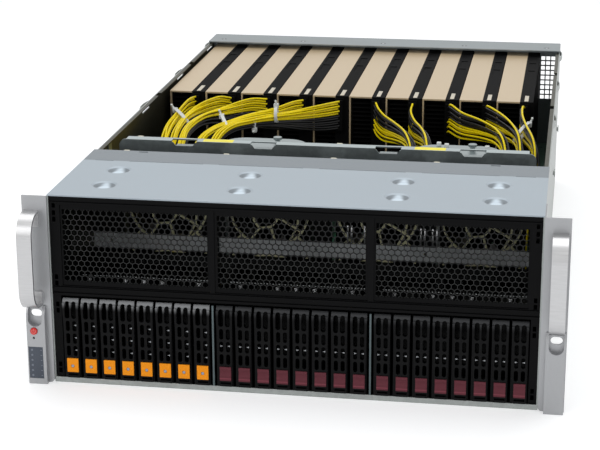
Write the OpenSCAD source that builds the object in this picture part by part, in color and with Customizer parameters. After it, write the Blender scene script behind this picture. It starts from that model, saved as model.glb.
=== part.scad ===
// Four-unit rack server with ten double-width accelerator cards, twenty-four
// small-form-factor drives, eight fans and four power supplies.
// Millimetres, +Z up, front face towards -Y, origin at the bottom centre.

/* [Chassis] */
// Width of the chassis body between the outer faces of its side walls
chassis_w = 437; // [425:0.5:445]
// Height of the chassis body
chassis_h = 178; // [174:0.5:190]
// Depth of the chassis body
chassis_d = 737; // [720:1:800]
// Thickness of the folded sheet steel
wall_t = 1.2; // [0.8:0.1:1.6]
// Height of the turned-up lip along the front edge of the floor
front_lip_h = 5; // [3:0.1:5.2]
// Drop of the open side walls below the top of the cover
rim_drop = 3; // [2:0.1:4]
// Width of the inward rim along each open side wall
rim_w = 5; // [3:0.1:6]
// How far the cover hooks stand out from the side walls
hook_out = 3; // [2:0.1:4]
// Length of one cover hook
hook_len = 44; // [30:1:60]
// Number of cover hooks on each side
hook_count = 3; // [1:1:3]
// How far the rail studs stand out from the side walls
stud_out = 2.4; // [1.5:0.1:3]
// Height of the rail studs above the floor
stud_z = 88; // [60:1:120]

/* [Front cover] */
// Depth of the fixed cover over the drives
cover_d = 157.2; // [150:0.1:165]
// Distance of the cover's seam from the front
seam_y = 118.5; // [112:0.5:125]
// Diameter of the stamped dimples
dimple_d = 24; // [20:0.5:26]
// Depth of the stamped dimples
dimple_depth = 2.4; // [1.6:0.1:3]

/* [Front frame] */
// Depth of the moulded front frame
frame_d = 8; // [6:0.1:10]
// Height of the bottom of the middle rail
rail_z = 83.5; // [82.5:0.1:86]
// Height of the middle rail
rail_h = 8.5; // [6:0.1:10]
// Height of the top band of the frame
band_h = 8; // [6:0.1:10]
// Width of each upright between two windows
upright_w = 4.8; // [3.6:0.1:6]
// Height of the windows above the middle rail
window_rise = 1; // [0.5:0.1:3]
// Width of the side strips of the frame beside the drives
strip_w = 7.2; // [6.4:0.1:7.6]
// Width of the frame's sides beside the upper windows
window_side_w = 9.3; // [8:0.1:11]
// Thickness of the perforated steel
mesh_t = 1; // [0.6:0.1:1.4]
// Spacing of the holes in the grilles
hole_pitch = 5.5; // [5:0.1:8]
// Steel left between two holes
hole_web = 0.7; // [0.6:0.05:1.6]

/* [Drives] */
// Number of drives in each of the three bays
drives_per_bay = 8; // [4:1:8]
// Free width between the outer drive bays and the chassis walls
cage_margin = 4.9; // [4.6:0.1:6]
// Extra width between two bays
bay_gap = 3.6; // [3:0.1:4.4]
// Free width between two neighbouring drive carriers
carrier_gap = 2.6; // [2:0.1:3.2]
// Free height between the carriers and the rail above them
rail_gap = 2.6; // [2.4:0.1:3.2]
// Depth of a carrier's nose in front of the drive
carrier_nose = 16; // [14:0.5:18]
// Length of a drive
drive_len = 100; // [96:0.5:100.5]
// How far the release tab stands proud of the carrier face
tab_proud = 1.4; // [0.6:0.1:2]
// Clearance between a drive carrier and what guides it
slide_gap = 0.3; // [0.2:0.05:0.4]

/* [Fans] */
// Free height above the upper fans
fan_head_gap = 6.8; // [6:0.1:9]
// Depth of one fan
fan_d = 38; // [32:1:40]
// Free length between the drive backplane and the fan wall
fan_wall_gap = 16.1; // [14:0.1:20]
// Extra width left of the fans, where cables pass
cable_bay_w = 15.8; // [10:0.1:18]
// Extra width between the two middle fans
fan_mid_extra = 5; // [0:0.5:8]
// Clearance between a blade tip and its housing
blade_gap = 1.2; // [0.8:0.1:2]
// Number of blades on a fan
blade_count = 7; // [5:1:9]
// Diameter of the guard wire
guard_wire_d = 2; // [1.6:0.1:2.6]

/* [Cross beam] */
// Free length between the fans and the cross beam
beam_gap = 18.8; // [16:0.1:24]
// Width of the top flange of the cross beam
beam_flange = 12; // [9:0.5:15]
// Height of the cross beam
beam_h = 46; // [30:1:60]

/* [Cards] */
// Number of accelerator cards
card_count = 10; // [6:1:10]
// Free width between two neighbouring cards
card_gap = 0.94; // [0.8:0.02:1.6]
// Free length between the heat sinks and the cards
card_front_gap = 61; // [50:0.5:70]
// Drop of the card tops below the top of the chassis
card_drop = 7.3; // [6.5:0.1:10]
// Width of the pale top plate of a card
shroud_w = 25.2; // [22:0.1:27]
// Thickness of the pale sheet of a card
shroud_t = 1.6; // [1:0.1:2]
// Free width between the left chassis wall and the first card
card_side_left = 6.2; // [5:0.1:8]
// Free width between the last card and the right chassis wall
card_side_right = 22; // [20:0.1:26]

/* [Power supplies] */
// Width of one power supply
psu_w = 73.5; // [70:0.5:74]
// Height of one power supply
psu_h = 40; // [38:0.5:41]
// Free length between the main board and the power supplies
psu_front_gap = 43; // [36:0.5:60]
// Free height between the power supplies and the card shelf
psu_head_gap = 5.5; // [4:0.1:7]
// How far a power supply's handle stands out behind
psu_handle = 28; // [22:0.5:30]

/* [Ears] */
// Width of a rack ear beside the chassis
ear_w = 22.8; // [22:0.1:24]
// Thickness of the ear plate
ear_t = 2; // [1.5:0.1:2.5]
// How far the raised lower panel of an ear stands in front of the chassis
ear_panel_reach = 8; // [7:0.1:10]
// Height of the raised lower panel of an ear
ear_panel_h = 61; // [58:0.5:62]
// Distance of a rack slot's middle from the outer edge of its ear
slot_inset = 8.75; // [8.2:0.05:9]
// Height of the rack slots above the chassis floor
slot_z = 66.7; // [66:0.1:67]
// Width of a rack slot from end to end
slot_len = 10.4; // [9:0.1:11]
// Radius of the round ends of a rack slot
slot_r = 3.4; // [3.2:0.05:3.6]
// How far the handles stand in front of the chassis
handle_reach = 28; // [24:0.5:32]
// Width of a handle strap
handle_w = 13.5; // [12:0.1:14]
// Thickness of a handle strap
handle_t = 2.6; // [2:0.1:3.2]
// Diameter of the power button
button_d = 6.4; // [5:0.1:7]
// Travel of the power button
button_travel = 0.8; // [0.5:0.1:1]

/* [Boards] */
// Thickness of the circuit boards
board_t = 1.6; // [1.2:0.1:2]
// Height of the main board above the floor sheet
board_rise = 8; // [6:0.1:10]
// Free length between the cross beam and the main board
main_board_gap = 2; // [1:0.5:6]
// Number of memory modules beside one side of a heat sink
modules_per_side = 6; // [4:1:6]
// Width of a processor heat sink
sink_w = 86; // [80:1:88]
// Depth of a processor heat sink
sink_d = 104; // [90:1:108]
// Height of a processor heat sink above the board
sink_h = 64; // [50:1:70]

/* [Hidden] */

// Facets of a true circle, and of a true six-sided hole
round_fn = 48;
hex_fn = 6;
// How far a cutting tool passes the face that it cuts
cut = 1;
// Diameter of a clearance hole for a small screw
screw_d = 3.4;

// In every module the chassis front face lies at y = 0. from_front() moves
// the piece so that the origin is the bottom centre of the whole server.
front_y = (handle_reach - psu_handle - chassis_d) / 2;
half_w = chassis_w / 2;
inner_w = half_w - wall_t;
cover_z = chassis_h - wall_t;
rim_z = chassis_h - rim_drop;

// Three bays of drives side by side fill the width of their cage
cage_t = 1.2;
bay_pitch = (inner_w - cage_margin - cage_t / 2) * 2 / 3;
drive_pitch = (bay_pitch - bay_gap) / drives_per_bay;
carrier_w = drive_pitch - carrier_gap;
carrier_z = front_lip_h + slide_gap;
carrier_h = rail_z - rail_gap - carrier_z;
drive_t = carrier_w - 2 * slide_gap;

// Front frame
frame_half = inner_w - 0.3;
rail_top = rail_z + rail_h;
band_z = cover_z - band_h;
upright_x = bay_pitch / 2;
frame_skin = 2.5;
rebate = 2;
windows = [
    [-frame_half + window_side_w, -upright_x - upright_w / 2],
    [-upright_x + upright_w / 2, upright_x - upright_w / 2],
    [upright_x + upright_w / 2, frame_half - window_side_w]];
window_z = rail_top + window_rise;

// Drives and their cage
bay_half = drives_per_bay * drive_pitch / 2;
carrier_top = carrier_z + carrier_h;
carrier_len = carrier_nose + drive_len;
cage_floor_z = carrier_z - slide_gap;
cage_top_z = carrier_top + slide_gap;
cage_half = bay_pitch * 1.5 + cage_t / 2;
cage_rear_y = carrier_len + 2;
guide_w = 1.6;
guide_h = 3;
socket_y = carrier_len + slide_gap;
backplane_y = socket_y + 6;

// Fans, four across and two high. They fill the height, and what is left of
// the width makes five equal gaps.
fan_foot_gap = 4.8;
fan_row_gap = 4;
fan_size = (cover_z - wall_t - fan_foot_gap - fan_row_gap - fan_head_gap) / 2;
fan_gap = (2 * inner_w - 4 * fan_size - cable_bay_w - fan_mid_extra) / 5;
fan_step = fan_size + fan_gap;
fan_0_x = -inner_w + cable_bay_w + fan_gap + fan_size / 2;
fan_x = [
    fan_0_x, fan_0_x + fan_step, fan_0_x + 2 * fan_step + fan_mid_extra,
    fan_0_x + 3 * fan_step + fan_mid_extra];
fan_low_z = wall_t + fan_foot_gap + fan_size / 2;
fan_high_z = fan_low_z + fan_size + fan_row_gap;
fan_wall_y = backplane_y + board_t + fan_wall_gap;
guard_y = fan_wall_y + wall_t;
fan_y = guard_y + guard_wire_d;
fan_hole_d = fan_size - 4;
hub_d = 34;
rotor_d = fan_hole_d - 2 * blade_gap;
rotor_y = fan_y + 4;
rotor_len = fan_d - 13;
shaft_d = 4;
shaft_start = 6;
bearing_gap = 0.08;
spin_gap = 0.4;
motor_y = rotor_y + rotor_len + spin_gap;

// The cross beam follows the fans, and the main board follows the beam
beam_y = fan_y + fan_d + beam_gap;
main_board_y = beam_y + beam_flange + main_board_gap;
sink_y = main_board_y + 66;

// Power supplies under a shelf, two on each side of the rear connectors
psu_z = wall_t + slide_gap;
psu_gap = 1;
psu_side = 2;
psu_contact_z = 14;
psu_x = [
    -inner_w + psu_side + psu_w / 2,
    -inner_w + psu_side + psu_w * 1.5 + psu_gap,
    inner_w - psu_side - psu_w * 1.5 - psu_gap,
    inner_w - psu_side - psu_w / 2];
io_half = psu_x[2] - psu_w / 2 - 2;
shelf_z = psu_z + psu_h + psu_head_gap;
shelf_top = shelf_z + wall_t;

// Cards stand side by side on their edges across the rear
card_rear_y = chassis_d - 25;
card_y = sink_y + sink_d + card_front_gap;
card_len = card_rear_y - card_y;
card_lift = 19.8;
card_bottom = shelf_top + card_lift;
card_top = chassis_h - card_drop;
card_pitch = (2 * inner_w - card_side_left - card_side_right) / card_count;
card_w = card_pitch - card_gap;
first_card_x = -inner_w + card_side_left;
standoff_x = [for (k = [-2:2]) k * (inner_w - 17.3) / 2];
bracket_t = 1;
rear_wall_y = card_rear_y + bracket_t;
slot_rise = 11;
slot_seat = 0.4;
finger_drop = 8;
card_pcb_x = card_w - 3.7;
card_board_top = card_bottom - slot_seat - slot_rise;
card_board_z = card_board_top - board_t;
plug_x = 29.6;
plug_w = 8;
plug_h = 34;
plug_out = 4.3;
plug_y = card_y - 2;
plug_z = card_top - 4 - plug_h;

// Main board, with a tail between the power supplies
shelf_y = card_y - 12;
main_z = wall_t + board_rise;
main_top = main_z + board_t;
main_half = inner_w - 7;
main_rear_y = shelf_y - 4;
psu_y = main_rear_y + psu_front_gap;
psu_len = chassis_d - psu_y;
tail_half = io_half - 7;
cpu_x = main_half / 2 - 2.15;
module_first = 5;
module_mid_gap = 7.5;
module_pitch = (cpu_x - sink_w / 2 - module_first - module_mid_gap) / (modules_per_side - 1);
socket_h = 5;
module_len = 133;
module_h = 31;
module_lift = 3;
module_y = sink_y - 14;
header_y = main_board_y + 40;
header_w = 11;
header_d = 9;
header_h = 25;

// Cable bundles. Each runs from its card's plug to a header on the main board
// through points measured from the chassis middle and its front face.
bundle_r = 4.5;
bundle_sides = 10;
header_x = concat(
    [for (inset = [20.3, 33.3, 46.3, 59.3, 72.3]) -main_half + inset],
    [for (inset = [140.3, 114.3, 38.3, 24.3, 10.3]) main_half - inset]);
routes = [
    [[-183, 414, 161], [-187, 386, 160], [-190, 357, 158], [-190, 326, 154],
     [-189, 300, 142], [-189, 276, 108], [-190, 258, 70]],
    [[-150, 427, 161], [-166, 406, 161], [-174, 380, 160], [-177, 350, 158],
     [-177, 324, 154], [-177, 300, 142], [-177, 276, 108], [-177, 258, 70]],
    [[-112, 427, 162], [-134, 411, 162], [-152, 396, 161], [-162, 374, 159],
     [-165, 350, 157], [-165, 324, 153], [-164, 300, 141], [-164, 276, 108],
     [-164, 258, 70]],
    [[-72, 424, 161], [-96, 402, 160], [-116, 380, 159], [-132, 358, 158],
     [-144, 336, 155], [-151, 314, 149], [-152, 296, 136], [-151, 276, 106],
     [-151, 258, 70]],
    [[-31, 424, 161], [-52, 407, 161], [-78, 390, 160], [-99, 370, 158],
     [-116, 350, 156], [-129, 330, 152], [-137, 310, 145], [-139, 294, 132],
     [-138, 276, 106], [-138, 258, 70]],
    [[24, 418, 161], [30, 398, 160], [40, 376, 158], [51, 356, 155],
     [60, 336, 149], [67, 314, 138], [70, 292, 118], [70, 272, 92],
     [70, 258, 64]],
    [[64, 414, 161], [68, 390, 160], [76, 366, 158], [85, 344, 154],
     [92, 322, 146], [96, 300, 131], [97, 280, 108], [96, 260, 70]],
    [[108, 424, 162], [123, 400, 161], [139, 380, 159], [154, 360, 157],
     [165, 340, 153], [171, 318, 146], [173, 298, 131], [173, 278, 106],
     [172, 258, 70]],
    [[153, 420, 162], [166, 400, 160], [176, 377, 158], [183, 354, 156],
     [186, 330, 152], [187, 308, 142], [187, 286, 120], [187, 268, 92],
     [186, 257, 64]],
    [[184, 418, 162], [188, 390, 160], [194, 362, 158], [199, 336, 154],
     [201, 310, 143], [201, 288, 121], [200, 268, 92], [200, 257, 64]]];

module from_front() {
    translate([0, front_y, 0])
        children();
}

// A box given by its lowest and its highest corner
module block(low, high) {
    translate(low)
        cube(high - low);
}

// The same piece on both sides of the chassis
module both_sides() {
    children();
    mirror([1, 0, 0])
        children();
}

// A round bar or hole along X, Y or Z
module rod_x(y, z, d, x0, x1) {
    translate([x0, y, z])
        rotate([0, 90, 0])
            cylinder(d = d, h = x1 - x0, $fn = round_fn);
}

module rod_y(x, z, d, y0, y1) {
    translate([x, y0, z])
        rotate([-90, 0, 0])
            cylinder(d = d, h = y1 - y0, $fn = round_fn);
}

module rod_z(x, y, d, z0, z1) {
    translate([x, y, z0])
        cylinder(d = d, h = z1 - z0, $fn = round_fn);
}

// A flat outline in X and Z, made solid from y0 to y1
module slab_y(y0, y1) {
    translate([0, y1, 0])
        rotate([90, 0, 0])
            linear_extrude(height = y1 - y0)
                children();
}

// A flat outline in Y and Z, made solid from x0 to x1
module slab_x(x0, x1) {
    translate([x0, 0, 0])
        rotate([90, 0, 90])
            linear_extrude(height = x1 - x0)
                children();
}

// A flat slot with round ends
module stadium(len, r) {
    square([len - 2 * r, 2 * r], center = true);
    for (side = [-1, 1])
        translate([side * (len / 2 - r), 0])
            circle(r = r, $fn = round_fn);
}

// A flat straight wire with round ends, from a to b
module wire(a, b, d) {
    run = b - a;
    translate((a + b) / 2)
        rotate(atan2(run[1], run[0]))
            stadium(norm(run) + d, d / 2);
}

// Flat holes in staggered rows that fill a rectangle, a web apart, either
// hexagonal or round
module hole_field(x0, x1, z0, z1, pitch, web, sides) {
    row_step = pitch * sqrt(3) / 2;
    hole_r = sides == hex_fn ? (pitch - web) / sqrt(3) : (pitch - web) / 2;
    rows = floor((z1 - z0 - 2 * hole_r) / row_step);
    cols = floor((x1 - x0 - pitch) / pitch);
    for (row = [0:rows])
        for (col = [0:cols - row % 2])
            translate([
                (x0 + x1 - cols * pitch) / 2 + (col + row % 2 / 2) * pitch,
                (z0 + z1 - rows * row_step) / 2 + row * row_step])
                rotate(30)
                    circle(r = hole_r, $fn = sides);
}

// ---- chassis

rear_rise_y = chassis_d - 47;
first_hook_y = beam_y + 156;
last_hook_y = rear_rise_y - 4;
hook_step = (last_hook_y - first_hook_y) / max(1, hook_count - 1);
hook_y = [for (k = [0:hook_count - 1]) first_hook_y + k * hook_step];
hook_drop = 5;
stud_y = [60, 260, 460, chassis_d - 77];
floor_screw_y = [20, 100];

// A strip bowed outward from the side wall, under which the cover slides
module cover_hook(y) {
    bow_r = (pow(hook_len / 2, 2) + pow(hook_out, 2)) / (2 * hook_out);
    translate([half_w + hook_out - bow_r, y, rim_z - hook_drop])
        linear_extrude(height = hook_drop)
            intersection() {
                difference() {
                    circle(r = bow_r, $fn = round_fn);
                    circle(r = bow_r - wall_t, $fn = round_fn);
                }
                translate([bow_r - hook_out - wall_t / 2, -hook_len])
                    square([2 * hook_out, 2 * hook_len]);
            }
}

module base_tray() {
    notch_len = 14;
    color("silver")
    from_front() {
        difference() {
            union() {
                block([-half_w, 0, 0], [half_w, chassis_d, wall_t]);
                block([-half_w, 0, 0], [half_w, wall_t, front_lip_h]);
                both_sides() {
                    block([inner_w, 0, 0], [half_w, cover_d, cover_z]);
                    block([inner_w, cover_d, 0], [half_w, rear_rise_y, rim_z]);
                    block([inner_w, rear_rise_y, 0], [half_w, chassis_d, cover_z]);
                    block([half_w - rim_w, cover_d + 4, rim_z - wall_t],
                          [half_w, rear_rise_y, rim_z]);
                    for (y = hook_y)
                        cover_hook(y);
                    for (y = stud_y) {
                        rod_x(y, stud_z, 5, half_w, half_w + stud_out);
                        rod_x(y, stud_z, 9, half_w + stud_out - 1, half_w + stud_out);
                    }
                }
            }
            both_sides() {
                // Windows behind the bowed strips
                for (y = hook_y)
                    block([inner_w - cut, y - hook_len * 0.3, rim_z - hook_drop - 2],
                          [half_w + 0.2, y + hook_len * 0.4, rim_z - wall_t]);
                // Notches that the cover's tongues drop into
                for (y = hook_y)
                    block([half_w - rim_w - cut, y + hook_len, rim_z - wall_t - cut],
                          [half_w - wall_t, y + hook_len + notch_len, rim_z + cut]);
                // Screw holes of the ears and of the cross beam
                for (z = ear_screw_z)
                    rod_x(ear_screw_y, z, screw_d, inner_w - cut, half_w + cut);
                for (drop = beam_screw_drop)
                    rod_x(beam_y + beam_flange / 2, chassis_h - drop, screw_d,
                          inner_w - cut, half_w + cut);
            }
            // Screw holes in the floor, under the drive cage
            for (x = [-bay_pitch, 0, bay_pitch])
                for (y = floor_screw_y)
                    rod_z(x, y, screw_d, -cut, wall_t + cut);
        }
        // Standoffs under the main board
        for (x = [-0.94 * main_half, -0.6 * tail_half, 0.6 * tail_half, 0.94 * main_half])
            for (y = [main_board_y + 8, main_rear_y - 8])
                translate([x, y, wall_t])
                    cylinder(d = 7, h = board_rise, $fn = hex_fn);
    }
}

module rear_panel() {
    vent_x0 = first_card_x + card_count * card_pitch - 1;
    vent_pitch = 6.1;
    vent = 4.7;
    vent_cols = 3;
    vent_rows = 9;
    vent_top = cover_z - 10.6;
    port_h = 20;
    screw_pitch = (half_w - 16.5) / 2;
    color("lightslategray")
    from_front() {
        difference() {
            union() {
                // Upper wall behind the cards, forward of the rear edge
                block([-inner_w, rear_wall_y, shelf_top],
                      [inner_w, rear_wall_y + wall_t, cover_z]);
                // Top flange over the card brackets, with a short rear lip
                block([-half_w, rear_rise_y, cover_z], [half_w, chassis_d, chassis_h]);
                block([-inner_w, chassis_d - wall_t, cover_z - 12],
                      [inner_w, chassis_d, cover_z]);
                // Lower wall round the supplies and the connectors
                block([-inner_w, chassis_d - wall_t, wall_t],
                      [inner_w, chassis_d, shelf_top]);
            }
            // One tall window for each card's bracket
            for (i = [0:card_count - 1])
                block([card_left(i) + 3, rear_wall_y - cut, card_bottom + 6],
                      [card_left(i) + card_w - 3, rear_wall_y + wall_t + cut,
                       card_top - 6]);
            // Square vents at the right of the cards
            for (col = [0:vent_cols - 1])
                for (row = [0:vent_rows - 1])
                    translate([vent_x0 + 1.6 + col * vent_pitch, rear_wall_y - cut,
                               vent_top - vent - row * vent_pitch])
                        cube([vent, wall_t + 2 * cut, vent]);
            // Openings for the power supplies
            for (x = psu_x)
                block([x - psu_w / 2 - slide_gap, chassis_d - wall_t - cut,
                       psu_z - slide_gap],
                      [x + psu_w / 2 + slide_gap, chassis_d + cut,
                       psu_z + psu_h + slide_gap]);
            // Connector window and vents between the supplies
            block([-tail_half, chassis_d - wall_t - cut, main_top],
                  [tail_half, chassis_d + cut, main_top + port_h]);
            slab_y(chassis_d - wall_t - cut, chassis_d + cut)
                hole_field(-tail_half, tail_half, main_top + port_h + 1, shelf_z - 1,
                           hole_pitch, hole_web, hex_fn);
            // Screw holes of the top flange
            for (k = [-2:2])
                rod_z(k * screw_pitch, chassis_d - 31, screw_d, cover_z - cut,
                      chassis_h + cut);
        }
    }
}

module card_shelf() {
    slot_pitch = 38;
    slot_w = 16;
    slot_len = 60;
    color("silver")
    from_front() {
        difference() {
            block([-inner_w, shelf_y, shelf_z],
                  [inner_w, chassis_d - wall_t, shelf_top]);
            // Air slots over the power supplies
            for (i = [-5:4])
                block([(i + 0.5) * slot_pitch - slot_w / 2, shelf_y + 50, shelf_z - cut],
                      [(i + 0.5) * slot_pitch + slot_w / 2, shelf_y + 50 + slot_len,
                       shelf_top + cut]);
        }
        // Walls between the power supplies and the rear connectors
        both_sides()
            block([io_half - wall_t / 2, psu_y - 2, wall_t],
                  [io_half + wall_t / 2, chassis_d - wall_t, shelf_z]);
        // Standoffs under the card board
        for (x = standoff_x)
            for (y = [shelf_y + 24, rear_wall_y - 24])
                translate([x, y, shelf_top])
                    cylinder(d = 6, h = card_board_z - shelf_top, $fn = hex_fn);
    }
}

dimple_x = [-176, -52, 89, 175];
dimple_y = [38, 88.5];

// A dished hollow with a flat floor, stamped into the cover
module dimple(x, y) {
    lip_r = dimple_d / 2;
    floor_r = lip_r * 0.55;
    floor_z = -dimple_depth;
    translate([x, y, cover_z])
        rotate_extrude($fn = round_fn)
            polygon([
                [0, floor_z], [floor_r, floor_z], [lip_r, 0], [lip_r, wall_t],
                [floor_r, floor_z + wall_t], [0, floor_z + wall_t]]);
}

module front_cover() {
    seam_w = 0.9;
    seam_end = half_w - 11.5;
    tab_w = 15;
    tab_x = [-181.5, -95.3, 0, 95.3, 181.5];
    latch_x = 168.7;
    color("lightsteelblue")
    from_front() {
        difference() {
            block([-half_w, 0, cover_z], [half_w, cover_d, chassis_h]);
            for (x = dimple_x)
                for (y = dimple_y)
                    rod_z(x, y, dimple_d, cover_z - cut, chassis_h + cut);
            // Seam of the two sheets, bridged by five tabs
            difference() {
                block([-seam_end, seam_y, chassis_h - 0.7],
                      [seam_end, seam_y + seam_w, chassis_h + cut]);
                for (x = tab_x)
                    block([x - tab_w / 2, seam_y - cut, cover_z],
                          [x + tab_w / 2, seam_y + seam_w + cut, chassis_h + cut]);
            }
            // Latch slots of the sliding cover
            both_sides()
                block([latch_x - 4.5, cover_d - 5, cover_z - cut],
                      [latch_x + 4.5, cover_d - 2.6, chassis_h + cut]);
        }
        for (x = dimple_x)
            for (y = dimple_y)
                dimple(x, y);
    }
}

beam_screw_drop = [20, 36];

module cross_beam() {
    notch_x = [-139.5, -60.3, 62.5, 144.6];
    notch_w = 25;
    notch_floor = 17;
    notch_drop = 5;
    notch_depth = 8;
    corner_r = 7;
    beam_half = inner_w - 12;
    web_z = chassis_h - beam_h;
    ledge_z = chassis_h - notch_drop - wall_t;
    tongue_x = [-64, 128];
    tongue_w = 84;
    tongue_d = 52;
    tongue_r = 22;
    tongue_z = chassis_h - 8 - wall_t;
    latch_x = [-52, 142];
    color("lightslategray")
    from_front() {
        difference() {
            union() {
                // Front web with round upper corners
                slab_y(beam_y, beam_y + wall_t) {
                    translate([-beam_half, web_z])
                        square([2 * beam_half, beam_h - corner_r]);
                    translate([-beam_half + corner_r, web_z])
                        square([2 * (beam_half - corner_r), beam_h]);
                    for (side = [-1, 1])
                        translate([side * (beam_half - corner_r), chassis_h - corner_r])
                            circle(r = corner_r, $fn = round_fn);
                }
                // Top and bottom flanges
                block([-beam_half + corner_r, beam_y, chassis_h - wall_t],
                      [beam_half - corner_r, beam_y + beam_flange, chassis_h]);
                block([-inner_w, beam_y, web_z],
                      [inner_w, beam_y + beam_flange, web_z + wall_t]);
                // Ends screwed to the side walls
                both_sides()
                    block([inner_w - wall_t, beam_y, web_z],
                          [inner_w, beam_y + beam_flange, rim_z - 4]);
                // Ledges of the notches
                for (x = notch_x)
                    block([x - notch_floor / 2, beam_y, ledge_z],
                          [x + notch_floor / 2, beam_y + notch_depth, ledge_z + wall_t]);
            }
            for (x = notch_x) {
                slab_y(beam_y - cut, beam_y + wall_t + cut)
                    translate([x, chassis_h])
                        polygon([
                            [-notch_w / 2, cut], [-notch_w / 2, 0],
                            [-notch_floor / 2, -notch_drop],
                            [notch_floor / 2, -notch_drop],
                            [notch_w / 2, 0], [notch_w / 2, cut]]);
                block([x - notch_w / 2, beam_y - cut, chassis_h - wall_t - 0.2],
                      [x + notch_w / 2, beam_y + notch_depth, chassis_h + cut]);
            }
            both_sides()
                for (drop = beam_screw_drop)
                    rod_x(beam_y + beam_flange / 2, chassis_h - drop, screw_d,
                          beam_half, inner_w + cut);
        }
        // Two tongues with round shoulders, hung from the web
        for (x = tongue_x)
            translate([x, beam_y + wall_t, tongue_z])
                linear_extrude(height = wall_t) {
                    translate([-tongue_w / 2, 0])
                        square([tongue_w, tongue_d - tongue_r]);
                    translate([-tongue_w / 2 + tongue_r, 0])
                        square([tongue_w - 2 * tongue_r, tongue_d]);
                    for (side = [-1, 1])
                        translate([side * (tongue_w / 2 - tongue_r), tongue_d - tongue_r])
                            circle(r = tongue_r, $fn = round_fn);
                }
        // Latch studs that hold the sliding cover shut
        for (x = latch_x) {
            rod_z(x, beam_y + 36, 5, tongue_z + wall_t, tongue_z + 5);
            rod_z(x, beam_y + 36, 8.4, tongue_z + 5, tongue_z + 7.4);
        }
    }
}

// ---- front

module front_frame() {
    ladder_x = frame_half - 3.8;
    ladder_z = [
        cover_z - 8.8, cover_z - 15.8, cover_z - 21.8, rail_top + 9, rail_top + 3,
        rail_z - 8.5, rail_z - 14.5, front_lip_h + 12, front_lip_h + 6];
    ladder_w = 3;
    ladder_h = 4.5;
    ridge = 1.4;
    color("dimgray")
    from_front() {
        difference() {
            union() {
                block([-frame_half, ridge, front_lip_h + 0.2],
                      [frame_half, frame_d, cover_z]);
                // Ridges that run along the top band and the middle rail
                for (z = [cover_z - ridge, band_z + 1.5, rail_top - ridge, rail_z + 1.5])
                    block([-frame_half, 0, z], [frame_half, ridge, z + ridge]);
            }
            // The three windows, each with a rebate that holds its grille
            for (w = windows) {
                block([w[0], -cut, window_z], [w[1], frame_skin + cut, band_z]);
                block([w[0] - rebate, frame_skin, window_z - rebate],
                      [w[1] + rebate, frame_d + cut, band_z + rebate]);
            }
            // One opening for all the drives
            block([-frame_half + strip_w, -cut, 0],
                  [frame_half - strip_w, frame_d + cut, rail_z]);
            // Ladder of openings up each side strip
            for (side = [-1, 1])
                for (z = ladder_z)
                    block([side * ladder_x - ladder_w / 2, -cut, z - ladder_h / 2],
                          [side * ladder_x + ladder_w / 2, frame_d + cut,
                           z + ladder_h / 2]);
        }
    }
}

module mesh_grilles() {
    field_margin = 4;
    color("black")
    from_front()
        for (w = windows)
            slab_y(frame_skin, frame_skin + mesh_t)
                difference() {
                    translate([w[0] - rebate, window_z - rebate])
                        square([w[1] - w[0] + 2 * rebate,
                                band_z - window_z + 2 * rebate]);
                    hole_field(w[0], w[1], window_z + field_margin,
                               band_z - field_margin, hole_pitch, hole_web, round_fn);
                }
}

function drive_x(i) =
    (floor((i - 1) / drives_per_bay) - 1) * bay_pitch
    + ((i - 1) % drives_per_bay - (drives_per_bay - 1) / 2) * drive_pitch;

module drive_cage() {
    divider_t = 1.6;
    foot_y = [10, 94];
    foot_w = 12;
    post_d = 24;
    bead_h = 1.4;
    color("silver")
    from_front() {
        difference() {
            union() {
                // Floor and roof
                block([-cage_half, wall_t + 0.3, cage_floor_z - cage_t],
                      [cage_half, cage_rear_y, cage_floor_z]);
                block([-cage_half, frame_d, cage_top_z],
                      [cage_half, fan_wall_y, cage_top_z + cage_t]);
                // Outer sides, behind the frame
                both_sides()
                    block([cage_half - cage_t, frame_d, cage_floor_z],
                          [cage_half, cage_rear_y, cage_top_z]);
                // Dividers between the bays
                for (side = [-1, 1])
                    block([side * upright_x - divider_t / 2, 0, cage_floor_z],
                          [side * upright_x + divider_t / 2, cage_rear_y, cage_top_z]);
                // Feet pressed down to the chassis floor
                for (y = foot_y)
                    block([-cage_half + 4, y, wall_t],
                          [cage_half - 4, y + foot_w, cage_floor_z]);
                // Beads along the roof between the drives
                for (bay = [-1:1])
                    for (k = [0:drives_per_bay])
                        block([bay * bay_pitch + k * drive_pitch - bay_half - 0.8,
                               frame_d + 2, cage_top_z + cage_t],
                              [bay * bay_pitch + k * drive_pitch - bay_half + 0.8,
                               cage_rear_y, cage_top_z + cage_t + bead_h]);
                // Posts behind the uprights that carry the cover
                for (x = [-cage_half + 4, -upright_x, upright_x, cage_half - 4])
                    block([x - cage_t / 2, frame_d, cage_top_z],
                          [x + cage_t / 2, frame_d + post_d, cover_z]);
            }
            // Air openings in the roof, in line with the drives
            for (i = [1:3 * drives_per_bay])
                block([drive_x(i) - 5, 34, cage_top_z - cut],
                      [drive_x(i) + 5, cage_rear_y - 16, cage_top_z + cage_t + cut]);
            // Screw holes in the feet
            for (x = [-bay_pitch, 0, bay_pitch])
                for (y = floor_screw_y)
                    rod_z(x, y, 2.5, 0, cage_floor_z + cut);
        }
        // Guide ribs between the drives, on the floor and under the roof
        for (bay = [-1:1])
            for (k = [1:drives_per_bay - 1])
                for (z = [cage_floor_z, cage_top_z - guide_h])
                    block([bay * bay_pitch + k * drive_pitch - bay_half - guide_w / 2,
                           frame_d + 2, z],
                          [bay * bay_pitch + k * drive_pitch - bay_half + guide_w / 2,
                           cage_rear_y - 4, z + guide_h]);
    }
}

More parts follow.
